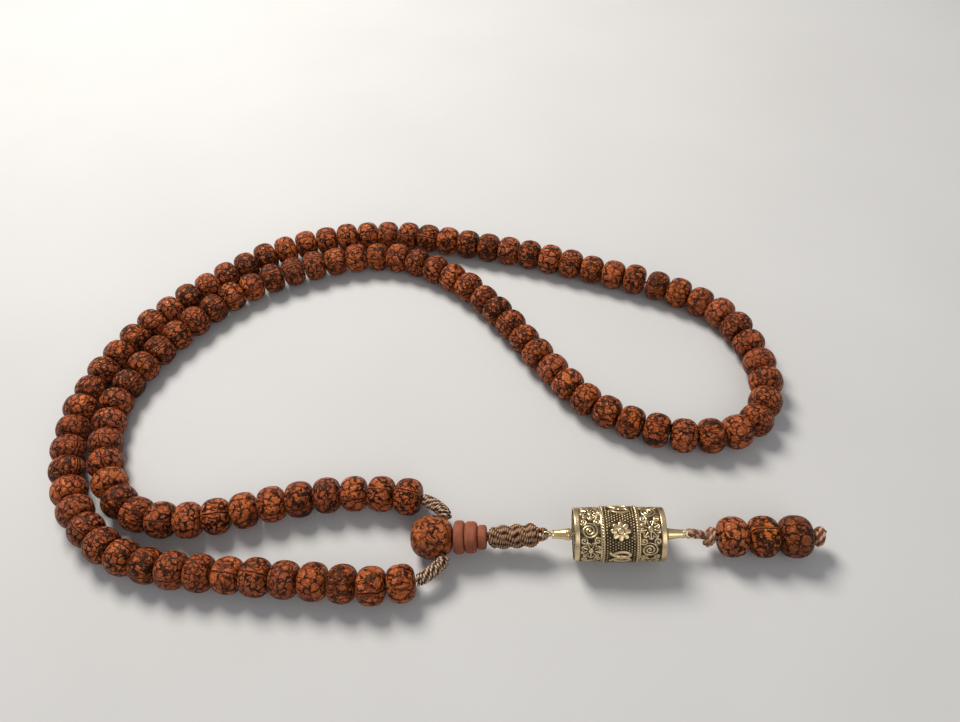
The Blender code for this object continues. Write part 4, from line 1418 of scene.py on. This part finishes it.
def make_tail_cord():
    """The cord folded through the lower eye, its two knots, and its run through the beads."""
    low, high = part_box("tail_cord")
    ring = eye_radius - EYE_WIRE / 2
    rim = lower_eye + Vector((ring, 0, 0))
    first_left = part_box("tail_bead_1")[0].x - GAP - KNOT_LENGTH
    end_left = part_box("tail_bead_3")[1].x + GAP
    knot_in = Vector((first_left + KNOT_LENGTH * 0.35, 0, tail_height + 0.0004))
    fold = hairpin(rim, Vector((0, 0, 1)), knot_in - rim, ring, FOLD_SPACING)
    first_right = first_left + KNOT_LENGTH
    core = tail_line(first_left + 0.0006, high.x - 0.0006)
    lump = tail_line(first_left + 0.0003, first_right - 0.0002)
    end_lump = tail_line(end_left + 0.0001, high.x - 0.0004)
    cord = (TAIL_CORD_DIAMETER, TAIL_CORD_LAY, tail_thread, 0.00016, 12)
    lump_lay = (0.004, tail_thread, 0.0003, 12)
    pieces = [
        twisted_thread("tail_fold", fold, *cord),
        twisted_thread("tail_core", core, 0.0011, CORD_LAY, tail_thread, 0.0004),
        twisted_thread("knot_lump", lump, KNOT_LUMP_DIAMETER, *lump_lay),
        twisted_thread("end_lump", end_lump, END_LUMP_DIAMETER, *lump_lay),
        knot_strands("knot_strands", first_left, first_right, 0.0005),
        knot_strands("end_strands", end_left, high.x, 0.0003),
    ]
    settle(joined("tail_cord_knotted", pieces), "tail", "tail_thread", "tail_cord")


def make_tail_beads():
    """The last bead is the darkest."""
    for index, shade in enumerate((0.10, 0.0, 0.62)):
        node = f"tail_bead_{index + 1}"
        low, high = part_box(node)
        diameter = (high.z - low.z) * 0.99
        bead = seed_bead(
            f"{node}_seed",
            high.x - low.x + GAP * 0.8,
            diameter,
            TAIL_BEAD_BORE,
            (low + high) / 2,
            0.0,
            FIRST_TAIL_NUMBER + index,
            shade,
            tail_seed,
        )
        settle(bead, node, "seed_wood", node)


# ---- Stage, light and camera ----


def area_light(name, place, target, size, power, colour):
    """A round lamp that faces the target."""
    light = bpy.data.lights.new(name, "AREA")
    light.shape = "DISK"
    light.size = size
    light.energy = power
    light.color = colour
    lamp = bpy.data.objects.new(name, light)
    bpy.context.scene.collection.objects.link(lamp)
    lamp.location = place
    lamp.rotation_euler = (Vector(target) - Vector(place)).to_track_quat("-Z", "Y").to_euler()


def make_stage():
    """A plain pale floor, an even room, a soft window light and a weak fill."""
    mesh = bpy.data.meshes.new("floor")
    half = 6.0
    corners = [(-half, -half), (half, -half), (half, half), (-half, half)]
    mesh.from_pydata([(x, y, FLOOR_LEVEL) for x, y in corners], [], [(0, 1, 2, 3)])
    mesh.materials.append(floor_material())
    floor = bpy.data.objects.new("floor", mesh)
    bpy.context.scene.collection.objects.link(floor)
    world = bpy.data.worlds.new("soft_room")
    bpy.context.scene.world = world
    world.use_nodes = True
    background = world.node_tree.nodes["Background"]
    background.inputs["Color"].default_value = (0.92, 0.95, 1.0, 1.0)
    background.inputs["Strength"].default_value = 0.34
    target = (0.0, 0.04, 0.0)
    area_light(
        "window_light",
        place=(-0.20, 0.34, 0.46),
        target=target,
        size=0.26,
        power=4.2,
        colour=(1.0, 0.97, 0.93),
    )
    area_light(
        "fill_light",
        place=(0.25, -0.40, 0.40),
        target=target,
        size=0.50,
        power=0.9,
        colour=(0.97, 0.98, 1.0),
    )


def make_camera():
    """A hand-held camera over the near side, looking down and slightly rolled."""
    camera_data = bpy.data.cameras.new("camera")
    camera_data.lens = 28.61
    camera_data.sensor_width = 36.0
    camera_data.clip_start = 0.01
    camera = bpy.data.objects.new("camera", camera_data)
    bpy.context.scene.collection.objects.link(camera)
    place = Matrix.Translation((0.02015, -0.07455, 0.1507))
    heading = Matrix.Rotation(math.radians(5.23), 4, "Z")
    tilt = Matrix.Rotation(math.radians(40.18), 4, "X")
    roll = Matrix.Rotation(math.radians(-4.98), 4, "Z")
    camera.matrix_world = place @ heading @ tilt @ roll
    bpy.context.scene.camera = camera


# ---- The whole object ----

strand = Strand()
joint_places = {joint["name"]: joint["pos_m"] for joint in frame["joints"]}
swing_centre = Vector(joint_places["pendant_swing"])
upper_eye = Vector(joint_places["wheel_lift"])
lower_eye = Vector(joint_places["tail_swing"])
whipping_axis = (upper_eye - swing_centre).normalized()
axle_low, axle_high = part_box("axle_pin")
eye_radius = (axle_high.z - axle_low.z) / 2
guru_low, guru_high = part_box("guru_bead")
guru_centre = (guru_low + guru_high) / 2
guru_size = guru_high - guru_low
tail_low, tail_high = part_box("tail_bead_3")
tail_height = (tail_low.z + tail_high.z) / 2

make_camera()
make_strand_beads()
make_side_whipping("upper_whipping", 1)
make_side_whipping("lower_whipping", -1)
make_stringing_cord()
make_guru_bead()
for disc in ("disc_1", "disc_2", "disc_3"):
    make_disc(disc)
make_pendant_cord()
make_pendant_whipping()
make_axle()
make_ferrule("upper_cone", True)
make_ferrule("lower_cone", False)
make_washer()
make_drum_shell()
make_drum_cap("drum_cap_upper", -1)
make_drum_cap("drum_cap_lower", 1)
make_tail_cord()
make_tail_beads()
make_stage()
bpy.context.scene.view_settings.view_transform = "Standard"
